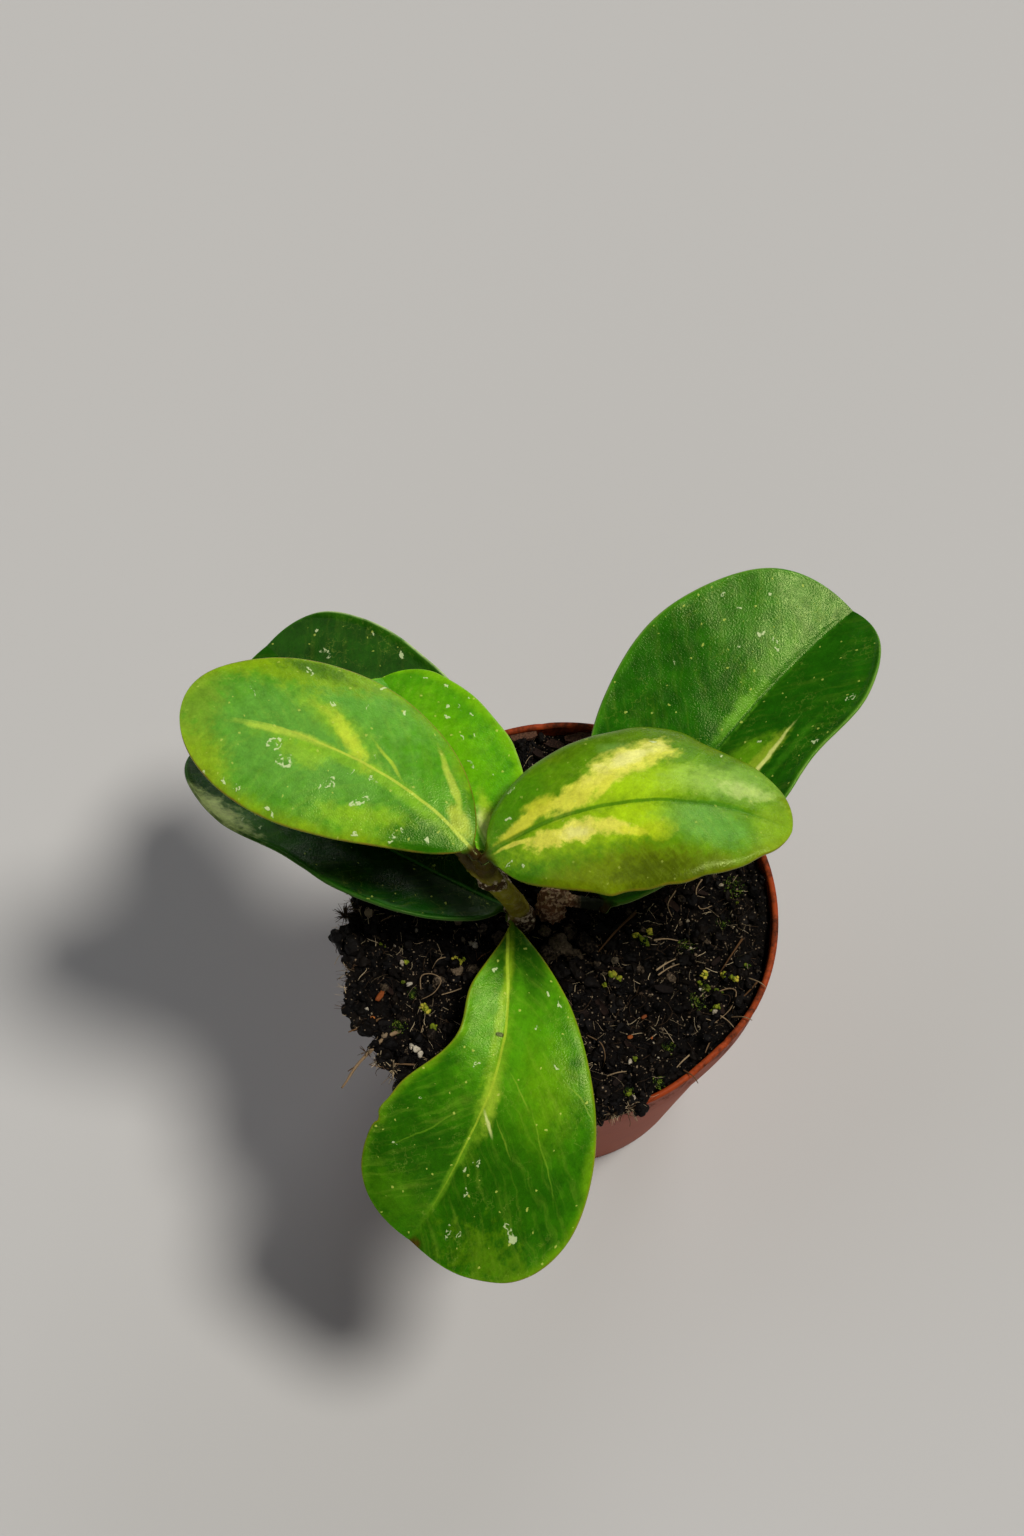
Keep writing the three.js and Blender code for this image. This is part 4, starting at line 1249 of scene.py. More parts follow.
@dataclass(frozen=True)
class PottingMix:
    """Damp peat with bark, roots, mineral grains and moss, heaped over the rim at the left."""

    level: float = 75.6
    heap: float = 4.6
    heap_angle: float = 205
    spill: float = 5.4
    spill_thickness: float = 1.1
    edge_setback: float = 0.6
    below_rim: float = 0.5
    relief: float = 0.75
    left_spill: Sector = Sector(174, 230, 8)
    front_spill: Sector = Sector(274, 288, 7)
    heaped_rim: Sector = Sector(164, 298, 6)
    front_share: float = 0.6
    around: int = 400
    rings: int = 128
    # Radius and height of its side, a small gap inside the pot's.
    side: tuple[tuple[float, float], ...] = ((0, 2.9), (30.3, 2.9), (41.2, 67.7), (42.9, 69.3))
    # Radius of the broken left edge at angles in degrees, where the photograph shows it.
    broken: tuple[tuple[float, float], ...] = (
        (166, 45.2), (174, 44.4), (177, 44.9), (181, 44.6), (184.5, 45), (186.5, 46.8), (189, 48.6),
        (191.7, 48.2), (193.3, 46), (195.5, 45.7), (197.5, 47), (199.5, 48.6), (202, 48.8), (204.5, 49.8),
        (207.5, 50.4), (210, 50.1), (212.5, 48.6), (214.8, 46.9), (217.2, 46.9), (218.8, 48.8), (221, 49.4),
        (223, 50.6), (226, 50.8), (230, 50.9), (236, 49.4), (241, 46.2))

    def broad_height(self, x: float, y: float) -> float:
        """Height of the solid's surface, by the solid's own formula.

        Args:
            x: Place in millimetres.
            y: Place in millimetres.

        Returns:
            The height in millimetres.
        """
        angle = math.radians(self.heap_angle)
        towards = x * math.cos(angle) + y * math.sin(angle)
        front = 1.6 * math.exp(-((x - 11) / 12) ** 2 - ((y + 44) / 14) ** 2)
        broad = math.sin(0.31 * x + 1.2) * math.sin(0.27 * y + 0.4)
        fine = math.sin(0.83 * x - 0.42 * y) * math.sin(0.71 * y + 0.38 * x + 2.1)
        return (self.level + self.heap * smooth_step(-14, 42, towards) + front
                + self.relief * (broad + 0.7 * fine))

    def crumble(self, x: float, y: float) -> float:
        """Relief of the crumbs and clods at a place.

        Args:
            x: Place in millimetres.
            y: Place in millimetres.

        Returns:
            The height in millimetres.
        """
        coarse = noise.fractal(Vector((x, y, 3.1)) / 4.2, 0.9, 2.1, 4)
        lumps = noise.voronoi(Vector((x, y, 0.0)) / 3.0)[0][0]
        fine = noise.fractal(Vector((x, y, 9.7)) / 1.1, 0.8, 2.0, 3)
        return 0.95 * coarse + 1.5 * (0.42 - lumps) + 0.4 * fine

    def edge_at(self, angle: float) -> tuple[float, float, float, float]:
        """The mix's edge at an angle.

        Args:
            angle: The angle in radians.

        Returns:
            The radius inside the rim, the outer radius, and the heights of its top and underside.
        """
        inside = RIM_RADIUS - RIM_BEAD - CLEARANCE - 0.1
        over = POT_HEIGHT + CLEARANCE + 0.1
        heaped = self.heaped_rim.share(angle)
        front = self.front_share * self.front_spill.share(angle)
        spill = self.spill * max(self.left_spill.share(angle), front)
        ragged = spill * 0.12 * math.sin(11 * angle) * math.sin(4 * angle + 1)
        ragged += spill * 0.16 * noise.noise(Vector((math.cos(angle) * 9, math.sin(angle) * 9, 1.0)))
        outer = inside - self.edge_setback * (1 - heaped) + spill + ragged
        degrees = math.degrees(angle) % 360
        for (start, near), (end, far) in zip(self.broken, self.broken[1:]):
            if start <= degrees < end:
                outer = near + (far - near) * smooth_step(start, end, degrees)
                outer += 0.35 * noise.noise(Vector((math.cos(angle), math.sin(angle), 0)) * 40)
        at_rim = self.broad_height(inside * math.cos(angle), inside * math.sin(angle))
        sunken = min(at_rim, POT_HEIGHT - self.below_rim)
        top = sunken + (over + self.spill_thickness - sunken) * heaped
        under = (top - 0.8) * (1 - heaped) + over * heaped
        return inside, outer, top, under

    def at_edge(self, x: float, y: float) -> bool:
        """Whether a place is at the mix's edge or past it."""
        return math.hypot(x, y) > self.edge_at(math.atan2(y, x))[1] * 0.98

    def height_at(self, x: float, y: float) -> float:
        """Height of the dressed surface at a place.

        Args:
            x: Place in millimetres.
            y: Place in millimetres.

        Returns:
            The height in millimetres.
        """
        radius = math.hypot(x, y)
        _, outer, top, _ = self.edge_at(math.atan2(y, x))
        share = radius / outer
        height = self.broad_height(x, y)
        height += (max(height, top) - height) * smooth_step(0.8, 1, share)
        return height + self.crumble(x, y) * (1 - 0.6 * smooth_step(0.93, 1, share))

    def build_surface(self) -> bpy.types.Object:
        """Make the mix itself.

        Returns:
            The dressed piece.
        """
        below = 6 / self.rings

        def place(turn: float, run: float) -> Vector:
            """A point of the mix's skin, from the middle of the pot's floor up to the middle of the top."""
            angle = math.tau * turn
            inside, outer, top, under = self.edge_at(angle)
            cosine, sine = math.cos(angle), math.sin(angle)
            if run <= below:
                row = round(run * self.rings)
                edge = ((inside, under), (outer, under), (outer + 0.25, (under + top) / 2 + 0.1))
                radius, z = (self.side + edge)[row]
            else:
                share = 1 - (run - below) / (1 - below)
                radius = outer * share
                z = self.height_at(radius * cosine, radius * sine)
            radius -= POT.dent(radius * cosine, radius * sine, z) if radius > 1 else 0.0
            return Vector((radius * cosine, radius * sine, z))

        bm = rolled_grid(self.around, self.rings, place)
        return make_piece("peat_surface", bm, self.material(), ("potting_mix",))

    def material(self) -> bpy.types.Material:
        """Damp peat: near black, with wet glints, grey grit and pale dust.

        Returns:
            The material.
        """
        nodes = Nodes(bpy.data.materials.new("damp_peat"))
        place = nodes.add("TexCoord", out=3)
        clods = nodes.add("TexNoise", {"Vector": place, "Scale": 0.42 / MM, "Detail": 6.0, "Roughness": 0.7})
        share = nodes.add("MapRange", (clods, 0.42, 0.72))
        grit = nodes.specks(place, 1.3, 0.3, 0.28)
        dust = nodes.specks(place, 0.6, 0.22, 0.4)
        colour = nodes.coated("#020101", ((share, "#0f0a06"), (grit, "#3c2f24"), (dust, "#85755e")))
        rough = nodes.add("MapRange", (clods, 0.35, 0.7, 0.3, 0.8))
        wet = nodes.add("TexNoise", {"Vector": place, "Scale": 1.3 / MM, "Detail": 3.0})
        wet = nodes.add("Math", (wet, 0.6, clods), operation="MULTIPLY_ADD")
        return nodes.finish(colour, rough, wet, (1.0, 0.9), 1.33, 0.16)


POT = MouldedPot()
MIX = PottingMix()


@dataclass(frozen=True)
class Toned:
    """A matt natural finish whose pieces differ in tone: each reads its own tone from the mesh."""

    name: str
    dark: str
    middle: str
    light: str
    roughness: float = 0.9
    grain_mm: float = 0.6
    gloss: float = 0.25
    speckle: float = 0.35
    dusty: float = 0.0

    def material(self) -> bpy.types.Material:
        """Build the finish.

        Returns:
            The material.
        """
        nodes = Nodes(bpy.data.materials.new(self.name))
        add = nodes.add
        tone = add("Attribute", out=2, attribute_name="tone")
        place = add("TexCoord", out=3)
        grain = add("TexNoise", {"Vector": place, "Scale": 1 / (self.grain_mm * MM), "Detail": 3.0})
        tone = add("Math", (grain, self.speckle, tone), operation="MULTIPLY_ADD")
        tone = add("Math", (tone, self.speckle / 2), operation="SUBTRACT")
        first = add("MapRange", (tone, 0.0, 0.6))
        second = add("MapRange", (tone, 0.6, 1.0))
        if self.dusty:
            dust = nodes.specks(place, 0.6, self.dusty, 0.4)
            second = add("Math", (second, dust), operation="MAXIMUM")
        colour = nodes.coated(self.dark, ((first, self.middle), (second, self.light)))
        return nodes.finish(colour, self.roughness, grain, (0.6, 0.2), 1.45, self.gloss)


# Crumbs of damp peat, dusty where they have dried.
PEAT = Toned("peat_crumbs", "#020101", "#110b06", "#7d6c56", 0.7, 0.5, 0.14, 0.6, 0.16)
# Composted bark, dark and fibrous, paler where it has split.
BARK_CHIP = Toned("composted_bark", "#080403", "#24150d", "#6b4a38", grain_mm=0.4, speckle=0.7)
# Dry, curled leaf, rusty and a little shiny.
DRY_LEAF = Toned("dry_leaf_scraps", "#3a1c0c", "#8a4516", "#b06a2c", 0.7)
# Pumice and perlite, stained by the peat.
MINERAL = Toned("mineral_grains", "#3c3226", "#7d725e", "#c4bcaa", grain_mm=0.3, speckle=0.7)
# The same grains with a crust of green and yellow algae.
ALGAE = Toned("algae_grains", "#26380a", "#6f7d14", "#b8aa3c", grain_mm=0.3, speckle=0.6)
# Dead fine roots, from brown to straw.
FINE_ROOT = Toned("fine_roots", "#1a110a", "#4f3c29", "#cdb994")
# Thicker dry roots and twigs with their skin on.
TWIG = Toned("dry_twigs", "#241509", "#5c4024", "#958062", 0.8, 0.3)
# Living moss.
MOSS = Toned("moss", "#0f1a06", "#2f4d0c", "#84972e", 0.7)
# Middle and radius of each stem where it enters the mix.
STEM_FEET = ((-9.0, -2.2, 3.4), (-3.1, 0.7, 3.9))


class Heap:
    """Gathers many small meshes into one, each with its own tone from 0 dark to 1 light."""

    BATCH = 80

    def __init__(self) -> None:
        """Start with nothing."""
        self.whole = bmesh.new()
        self.batch = bmesh.new()
        self.count = 0

    def add(self, bit: bmesh.types.BMesh, tone: float) -> None:
        """Put a small mesh in.

        Args:
            bit: The small mesh, which is freed.
            tone: Its tone.
        """
        layer = bit.verts.layers.float.new("tone")
        for vert in bit.verts:
            vert[layer] = tone
        pour(bit, self.batch)
        self.count += 1
        if self.count % self.BATCH == 0:
            pour(self.batch, self.whole)
            self.batch = bmesh.new()

    def lay(self, name: str, finish: Toned, slot: Slot, smooth: bool = True) -> None:
        """Close the heap and make its piece.

        Args:
            name: The piece's name.
            finish: Its finish.
            slot: The record's slot; not used.
            smooth: Whether its faces are shaded smooth.
        """
        pour(self.batch, self.whole)
        make_piece(name, self.whole, finish.material(), smooth=smooth)


@dataclass
class Litter:
    """What lies loose on the mix: crumbs, clods, chips, grains, roots, twigs and moss."""

    seed: int = 5
    crumbs: int = 2600
    dust: int = 2600
    rim_clods: int = 70
    chips: int = 34
    pale_grains: int = 70
    roots: int = 210
    fibres: int = 900
    rim_roots: int = 240
    short_twigs: int = 14
    crust: int = 7
    # Parts of the rim in degrees that clods and roots spill over.
    left_clods: tuple[float, float] = (166, 234)
    left_roots: tuple[float, float] = (168, 236)
    front: tuple[float, float] = (270, 292)

    def spot_on_mix(self, dice: random.Random, limit: float = 0.97) -> tuple[float, float]:
        """A place on the mix that isn't taken by a stem.

        Args:
            dice: Source of the draws.
            limit: Greatest share of the mix's radius.

        Returns:
            The place in millimetres.
        """
        while True:
            angle = dice.uniform(0, math.tau)
            radius = MIX.edge_at(angle)[1] * limit * math.sqrt(dice.random())
            x, y = radius * math.cos(angle), radius * math.sin(angle)
            if all(math.hypot(x - foot_x, y - foot_y) > clear for foot_x, foot_y, clear in STEM_FEET):
                return x, y

    def pebble(self, dice: random.Random, size: float, detail: int, rough: float,
               grain: float = 0.0) -> bmesh.types.BMesh:
        """A small irregular lump about the origin.

        Args:
            dice: Source of the draws.
            size: Its radius in millimetres.
            detail: Subdivisions.
            rough: How uneven it is.
            grain: How deep its fine crust is, as a share of its size.

        Returns:
            The mesh.
        """
        bm = bmesh.new()
        bmesh.ops.create_icosphere(bm, subdivisions=detail, radius=size * MM)
        shift = Vector((dice.random(), dice.random(), dice.random())) * 50
        for vert in bm.verts:
            way = vert.co / (size * MM)
            swell = rough * noise.noise(way * 0.9 + shift) + grain * noise.noise(way * 4.5 + shift)
            vert.co *= 1 + swell
        stretch = (dice.uniform(0.8, 1.3), dice.uniform(0.8, 1.2), dice.uniform(0.65, 1.0))
        bmesh.ops.scale(bm, vec=stretch, verts=bm.verts)
        angle = dice.uniform(0, math.tau)
        axis = Vector((dice.random(), dice.random(), 1)).normalized()
        bmesh.ops.rotate(bm, matrix=Matrix.Rotation(angle, 3, axis), verts=bm.verts)
        return bm

    def drop(self, bm: bmesh.types.BMesh, x: float, y: float, lift: float) -> None:
        """Lay a lump on the mix.

        Args:
            bm: The lump.
            x: Place in millimetres.
            y: Place in millimetres.
            lift: How far its middle is above the surface, in millimetres.
        """
        bmesh.ops.translate(bm, vec=Vector((x, y, MIX.height_at(x, y) + lift)) * MM, verts=bm.verts)

    def scrap(self, dice: random.Random, size: tuple[float, float, float], turn: float,
              lean: float) -> bmesh.types.BMesh:
        """A flat, bent scrap of bark or dry leaf about the origin.

        Args:
            dice: Source of the draws.
            size: Its length, width and thickness in millimetres.
            turn: Its turn about the upright axis in degrees.
            lean: How far it leans, in degrees.

        Returns:
            The mesh.
        """
        bm = bmesh.new()
        bmesh.ops.create_cube(bm, size=MM)
        bmesh.ops.subdivide_edges(bm, edges=bm.edges, cuts=3, use_grid_fill=True)
        for vert in bm.verts:
            x, y, z = vert.co / MM
            narrow = 1 - 0.75 * x * x * 2
            vert.co = Vector((x * size[0], y * size[1] * narrow, z * size[2] + 0.35 * y * y * size[1])) * MM
        shift = Vector((dice.random() * 40, 0, 0))
        for vert in bm.verts:
            vert.co += noise.noise_vector(vert.co / MM * 0.7 + shift) * 0.35 * MM
        tilt = Matrix.Rotation(math.radians(turn), 3, "Z") @ Matrix.Rotation(math.radians(lean), 3, "X")
        bmesh.ops.rotate(bm, matrix=tilt, verts=bm.verts)
        return bm

    def build_crumbs(self) -> None:
        """Crumbs of peat from dust size to 3 mm, and clods along the edge and below the stub."""
        dice = random.Random(self.seed)
        heap = Heap()
        for _ in range(self.crumbs):
            x, y = self.spot_on_mix(dice, 1.0)
            size = 0.25 + 1.1 * dice.random() ** 2.8
            lump = self.pebble(dice, size, 2 if size > 0.8 else 1, 0.9)
            self.drop(lump, x, y, size * dice.uniform(-0.2, 0.4))
            heap.add(lump, min(1.0, 0.7 * dice.random() ** 2.2 + (0.35 if dice.random() > 0.95 else 0)))
        for _ in range(self.dust):
            x, y = self.spot_on_mix(dice, 1.0)
            size = 0.07 + 0.12 * dice.random() ** 2
            lump = self.pebble(dice, size, 1, 0.4)
            self.drop(lump, x, y, size * 0.8)
            heap.add(lump, dice.uniform(0.6, 1.25))
        for i in range(self.rim_clods):
            angle = math.radians(dice.uniform(*(self.left_clods if i % 4 else self.front)))
            radius = MIX.edge_at(angle)[1] - dice.uniform(-0.3, 1.8)
            size = dice.uniform(0.7, 1.9)
            lump = self.pebble(dice, size, 3, 0.9, 0.16)
            self.drop(lump, radius * math.cos(angle), radius * math.sin(angle), dice.uniform(-0.9, 0.2))
            heap.add(lump, 0.5 * dice.random() ** 1.5)
        for x, y, size, tone in CLODS:
            lump = self.pebble(dice, size, 3, 0.9, 0.2)
            self.drop(lump, x, y, 0.35 * size)
            heap.add(lump, tone)
        heap.lay("peat_crumbs", PEAT, Slot.MIX, smooth=False)

    def build_chips(self) -> None:
        """Flat chips of composted bark and scraps of dry leaf."""
        dice = random.Random(self.seed + 1)
        # Unless it is seeded, the noise that bends a scrap starts from the clock.
        noise.seed_set(self.seed + 1)
        bark, leaf = Heap(), Heap()
        for _ in range(self.chips):
            x, y = self.spot_on_mix(dice, 0.93)
            size = (dice.uniform(1.6, 4.2), dice.uniform(0.9, 2.0), dice.uniform(0.35, 0.7))
            bit = self.scrap(dice, size, dice.uniform(0, 360), dice.uniform(-25, 25))
            self.drop(bit, x, y, 0.2)
            bark.add(bit, 0.45 * dice.random())
        for x, y, long, wide, turn, tone in BARK_CHIPS:
            bit = self.scrap(dice, (long, wide, 0.8), turn, dice.uniform(-20, 20))
            self.drop(bit, x, y, 0.5)
            bark.add(bit, tone)
        for x, y, long, wide, turn, tone in DRY_SCRAPS:
            bit = self.scrap(dice, (long, wide, 0.3), turn, dice.uniform(-35, 35))
            self.drop(bit, x, y, 0.6)
            leaf.add(bit, tone)
        bark.lay("bark_chips", BARK_CHIP, Slot.WOOD, smooth=False)
        leaf.lay("dry_leaf_scraps", DRY_LEAF, Slot.WOOD)

    def build_grains(self) -> None:
        """Pale mineral grains, and those that algae have turned yellow or green."""
        dice = random.Random(self.seed + 2)
        pale, green = Heap(), Heap()
        for _ in range(self.pale_grains):
            x, y = self.spot_on_mix(dice, 0.96)
            size = 0.14 + 0.22 * dice.random() ** 1.8
            lump = self.pebble(dice, size, 2, 0.5)
            self.drop(lump, x, y, 0.5 * size)
            pale.add(lump, dice.uniform(0.1, 0.9))
        for x, y, size, tone in PALE_GRAINS:
            lump = self.pebble(dice, 0.78 * size, 3, 0.8, 0.2)
            self.drop(lump, x, y, 0.45 * size)
            pale.add(lump, 0.9 * tone)
        for x, y, size, tone in ALGAE_GRAINS:
            # Each is a crust of small grains that the algae hold together.
            for k in range(self.crust):
                out = Vector((dice.gauss(0, 1), dice.gauss(0, 1), abs(dice.gauss(0, 1)))).normalized()
                out = out * 0.5 * size if k else Vector()
                lump = self.pebble(dice, size * (dice.uniform(0.26, 0.44) if k else 0.55), 2, 0.7)
                self.drop(lump, x + out.x, y + out.y, 0.25 * size + out.z)
                green.add(lump, tone * dice.uniform(0.55, 1.15))
        pale.lay("mineral_grains", MINERAL, Slot.MIX)
        green.lay("algae_grains", ALGAE, Slot.BRIGHT)

    def build_roots(self) -> None:
        """Fine roots that wander over the mix, and tufts of them along its broken edge."""
        dice = random.Random(self.seed + 3)
        heap = Heap()
        for _ in range(self.roots):
            x, y = self.spot_on_mix(dice, 0.97)
            heading = dice.uniform(0, math.tau)
            bend = dice.gauss(0, 0.35)
            step = dice.uniform(0.6, 1.9)
            rise = dice.uniform(0.1, 1.0)
            points = []
            for k in range(7):
                arch = 0.1 + rise * math.sin(math.pi * k / 6) * dice.uniform(0.4, 1.2)
                points.append(Vector((x, y, MIX.height_at(x, y) + (arch if 0 < k < 6 else -0.3))))
                heading += bend + dice.gauss(0, 0.45)
                x, y = x + step * math.cos(heading), y + step * math.sin(heading)
                if MIX.at_edge(x, y):
                    heading += math.pi / 2
                    x, y = x * 0.95, y * 0.95
            radius = 0.025 + 0.045 * dice.random() ** 2
            heap.add(rod(points, radius, radius * 0.5, 4, 9), 0.75 * dice.random() ** 1.4)
        for _ in range(self.fibres):
            x, y = self.spot_on_mix(dice, 0.97)
            heading, step, lift = dice.uniform(0, math.tau), dice.uniform(0.5, 1.3), dice.uniform(-0.1, 0.9)
            points = []
            for k in range(4):
                points.append(Vector((x, y, MIX.height_at(x, y) + 0.12 + lift * k / 3)))
                heading += dice.gauss(0, 0.3)
                x, y = x + step * math.cos(heading), y + step * math.sin(heading)
                if MIX.at_edge(x, y):
                    x, y = x * 0.95, y * 0.95
            radius = 0.03 + 0.05 * dice.random() ** 2
            heap.add(rod(points, radius, radius * 0.6, 4, 4), 0.15 + dice.random())
        for i in range(self.rim_roots):
            angle = math.radians(dice.uniform(*(self.left_roots if i % 6 else self.front)))
            radius = MIX.edge_at(angle)[1] - 1.2
            heading = angle + dice.gauss(0, 0.8)
            x, y, z = radius * math.cos(angle), radius * math.sin(angle), dice.uniform(78.9, 80.3)
            step, drop, points = dice.uniform(0.4, 0.95), dice.uniform(-0.35, 0.45), []
            for _ in range(6):
                points.append(Vector((x, y, z)))
                heading += dice.gauss(0, 0.4)
                x, y, z = x + step * math.cos(heading), y + step * math.sin(heading), z - drop
            radius = 0.05 + 0.09 * dice.random() ** 2
            heap.add(rod(points, radius, radius * 0.5, 4, 7), 0.15 + 0.85 * dice.random())
        for x, y, z, reach, count, tone in TUFTS:
            for _ in range(count):
                way = Vector((dice.gauss(0, 1), dice.gauss(0, 1), abs(dice.gauss(0.2, 0.8)))).normalized()
                tip = Vector((x, y, z)) + way * reach * dice.uniform(0.6, 1.1)
                middle = Vector((x, y, z)) + way * reach * 0.5 + Vector((0, 0, 0.15))
                points = [Vector((x, y, z - 0.6)), middle, tip]
                heap.add(rod(points, 0.1, 0.04, 4, 4), tone * dice.uniform(0.4, 1.3))
        heap.lay("fine_roots", FINE_ROOT, Slot.WOOD)

    def build_twigs(self) -> None:
        """The longer roots and twigs that lie or stick out where the photograph has them."""
        dice = random.Random(self.seed + 4)
        heap = Heap()
        for points, radius, tone in TWIGS:
            placed = [Vector((x, y, z if z > 10 else MIX.height_at(x, y) + z)) for x, y, z in points]
            heap.add(rod(placed, 0.8 * radius, radius * 0.35, 8, 18), tone)
        for _ in range(self.short_twigs):
            x, y = self.spot_on_mix(dice, 0.85)
            heading, length = dice.uniform(0, math.tau), dice.uniform(2, 4)
            points = []
            for k in range(4):
                px, py = x + k / 3 * length * math.cos(heading), y + k / 3 * length * math.sin(heading)
                points.append(Vector((px, py, MIX.height_at(px, py) + 0.3)))
            heap.add(rod(points, dice.uniform(0.12, 0.22), 0.1, 5, 6), dice.random())
        heap.lay("twigs_and_roots", TWIG, Slot.WOOD)

    def build_moss(self) -> None:
        """Small green tufts of moss: many short pointed leaves from one place."""
        dice = random.Random(self.seed + 5)
        heap = Heap()
        for x, y, spread, count in MOSS_TUFTS:
            for _ in range(count):
                angle, off = dice.uniform(0, math.tau), spread * dice.random() ** 0.8
                px, py = x + off * math.cos(angle), y + off * math.sin(angle)
                lean = Matrix.Rotation(dice.uniform(0, 1.1), 4, Vector((math.cos(angle), math.sin(angle), 0)))
                long = dice.uniform(0.3, 0.85)
                at = Matrix.Translation(Vector((px, py, MIX.height_at(px, py) + 0.3 * long)) * MM)
                leaf = bmesh.new()
                bmesh.ops.create_cone(leaf, cap_ends=True, segments=4, radius1=0.11 * MM, radius2=0.02 * MM,
                                      depth=long * MM, matrix=at @ lean)
                heap.add(leaf, dice.random())
        heap.lay("moss_tufts", MOSS, Slot.BRIGHT, smooth=False)

    def build(self) -> None:
        """Make everything that lies on the mix."""
        self.build_crumbs()
        self.build_chips()
        self.build_grains()
        self.build_roots()
        self.build_twigs()
        self.build_moss()


@dataclass(frozen=True)
class Bark:
    """A stem made from its solid: fused, softened and given its bark's wrinkles."""

    node: str
    name: str
    slot: Slot
    voxel: float = 0.3
    rounds: int = 6
    wrinkle: float = 0.12
    wrinkle_mm: float = 1.6
    knobs: float = 0.0
    knob_mm: float = 1.8
    green: str = "#938a1e"
    brown: str = "#4c3416"
    pale: str = "#d6c2a2"
    petiole: str = "#4c3e0c"
    petiole_from: tuple[int, float] = (2, 103.0)
    green_from: float = 86.0
    node_at: float = 101.0
    warts: tuple[tuple[float, float, float, float, float], ...] = ()
    limb: tuple[tuple[float, float, float], ...] = ()
    limb_radius: tuple[float, float] = (1.95, 1.5)
    swell: float = 0.06

    def build(self) -> bpy.types.Object:
        """Make the stem.

        Returns:
            The dressed piece.
        """
        bm = bmesh.new()
        bm.from_mesh(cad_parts[self.node].data)
        bmesh.ops.remove_doubles(bm, verts=bm.verts, dist=WELD)
        if self.limb:
            pour(rod([Vector(point) for point in self.limb], *self.limb_radius, 16, 16), bm)
        piece = make_piece(self.name, bm, self.material(), (self.node,))
        fuse = piece.modifiers.new("fuse", "REMESH")
        fuse.mode, fuse.voxel_size = "VOXEL", self.voxel * MM
        fused = baked(piece)
        bm = bmesh.new()
        bm.from_mesh(fused)
        for _ in range(self.rounds):
            bmesh.ops.smooth_vert(bm, verts=bm.verts, factor=0.5, use_axis_x=True, use_axis_y=True,
                                  use_axis_z=True)
        bm.normal_update()
        for vert in bm.verts:
            vert.co += vert.normal * (self.relief(vert.co / MM) * MM)
        for face in bm.faces:
            face.smooth = True
        bm.to_mesh(fused)
        bm.free()
        piece.data = fused
        LOG.info("%s: %d faces after fusing", self.name, len(fused.polygons))
        return piece

    def relief(self, at: Vector) -> float:
        """Height of the wrinkles, knobs and warts at a place, both in millimetres."""
        height = noise.fractal(Vector((at.x, at.y, at.z * 1.6)) / self.wrinkle_mm, 0.8, 2.0, 3) * self.wrinkle
        height += self.knobs * (0.5 - noise.voronoi(at / self.knob_mm)[0][0]) * smooth_step(2.4, 0.6, at.x)
        for x, y, z, radius, rise in self.warts:
            height += rise * math.exp(-(((at - Vector((x, y, z))).length / radius) ** 2))
        return height + self.swell

    def material(self) -> bpy.types.Material:
        """Young bark: olive where it is still green, brown and rough below, pale scars at the nodes; on the
        woody stub the same pale flecks are painted glints.

        Returns:
            The material.
        """
        nodes = Nodes(bpy.data.materials.new(self.name + "_bark"))
        add = nodes.add
        place = add("TexCoord", out=3)
        height = add("SeparateXYZ", (place,), out=2)
        drift = add("TexNoise", {"Vector": place, "Scale": 0.35 / MM, "Detail": 4.0})
        level = add("Math", (drift, 4 * MM, height), operation="MULTIPLY_ADD")
        start = self.green_from + 2
        young = add("MapRange", (level, (start - 0.7) * MM, (start + 0.7) * MM))
        axis, start = self.petiole_from
        out = add("SeparateXYZ", (place,), out=axis)
        above = add("MapRange", (out, start * MM, (start + 2) * MM))
        away = add("Math", (level, (self.node_at + 2) * MM), operation="SUBTRACT")
        away = add("Math", (away,), operation="ABSOLUTE")
        clear = add("MapRange", (away, 1.1 * MM, 1.8 * MM))
        green = add("Math", (young, clear), operation="MULTIPLY")
        streaks = add("TexNoise", {"Vector": place, "Scale": 0.26 / MM, "Detail": 5.0, "Roughness": 0.65})
        streaks = add("MapRange", (streaks, 0.4, 0.68, 0.0, 0.65))
        fresh = nodes.coated(self.green, ((streaks, "#5c4413"),))
        scars_and_glints = add("TexNoise", {"Vector": place, "Scale": 0.85 / MM, "Detail": 5.0, "Roughness": 0.7})
        scars_and_glints = add("MapRange", (scars_and_glints, 0.5, 0.57, 0.0, 1.0))
        bare = add("MapRange", (green, 0.0, 1.0, 1.0, 0.12))
        scars_and_glints = add("Math", (scars_and_glints, bare), operation="MULTIPLY")
        colour = nodes.coated(self.brown, ((streaks, "#1d110a"), (green, fresh), (scars_and_glints, self.pale),
                                           (above, self.petiole)))
        rough = add("MapRange", (green, 0.0, 1.0, 0.75, 0.42))
        fine = add("TexNoise", {"Vector": place, "Scale": 1.5 / MM, "Detail": 3.0})
        return nodes.finish(colour, rough, fine, (0.6, 0.3), 1.45, 0.2)


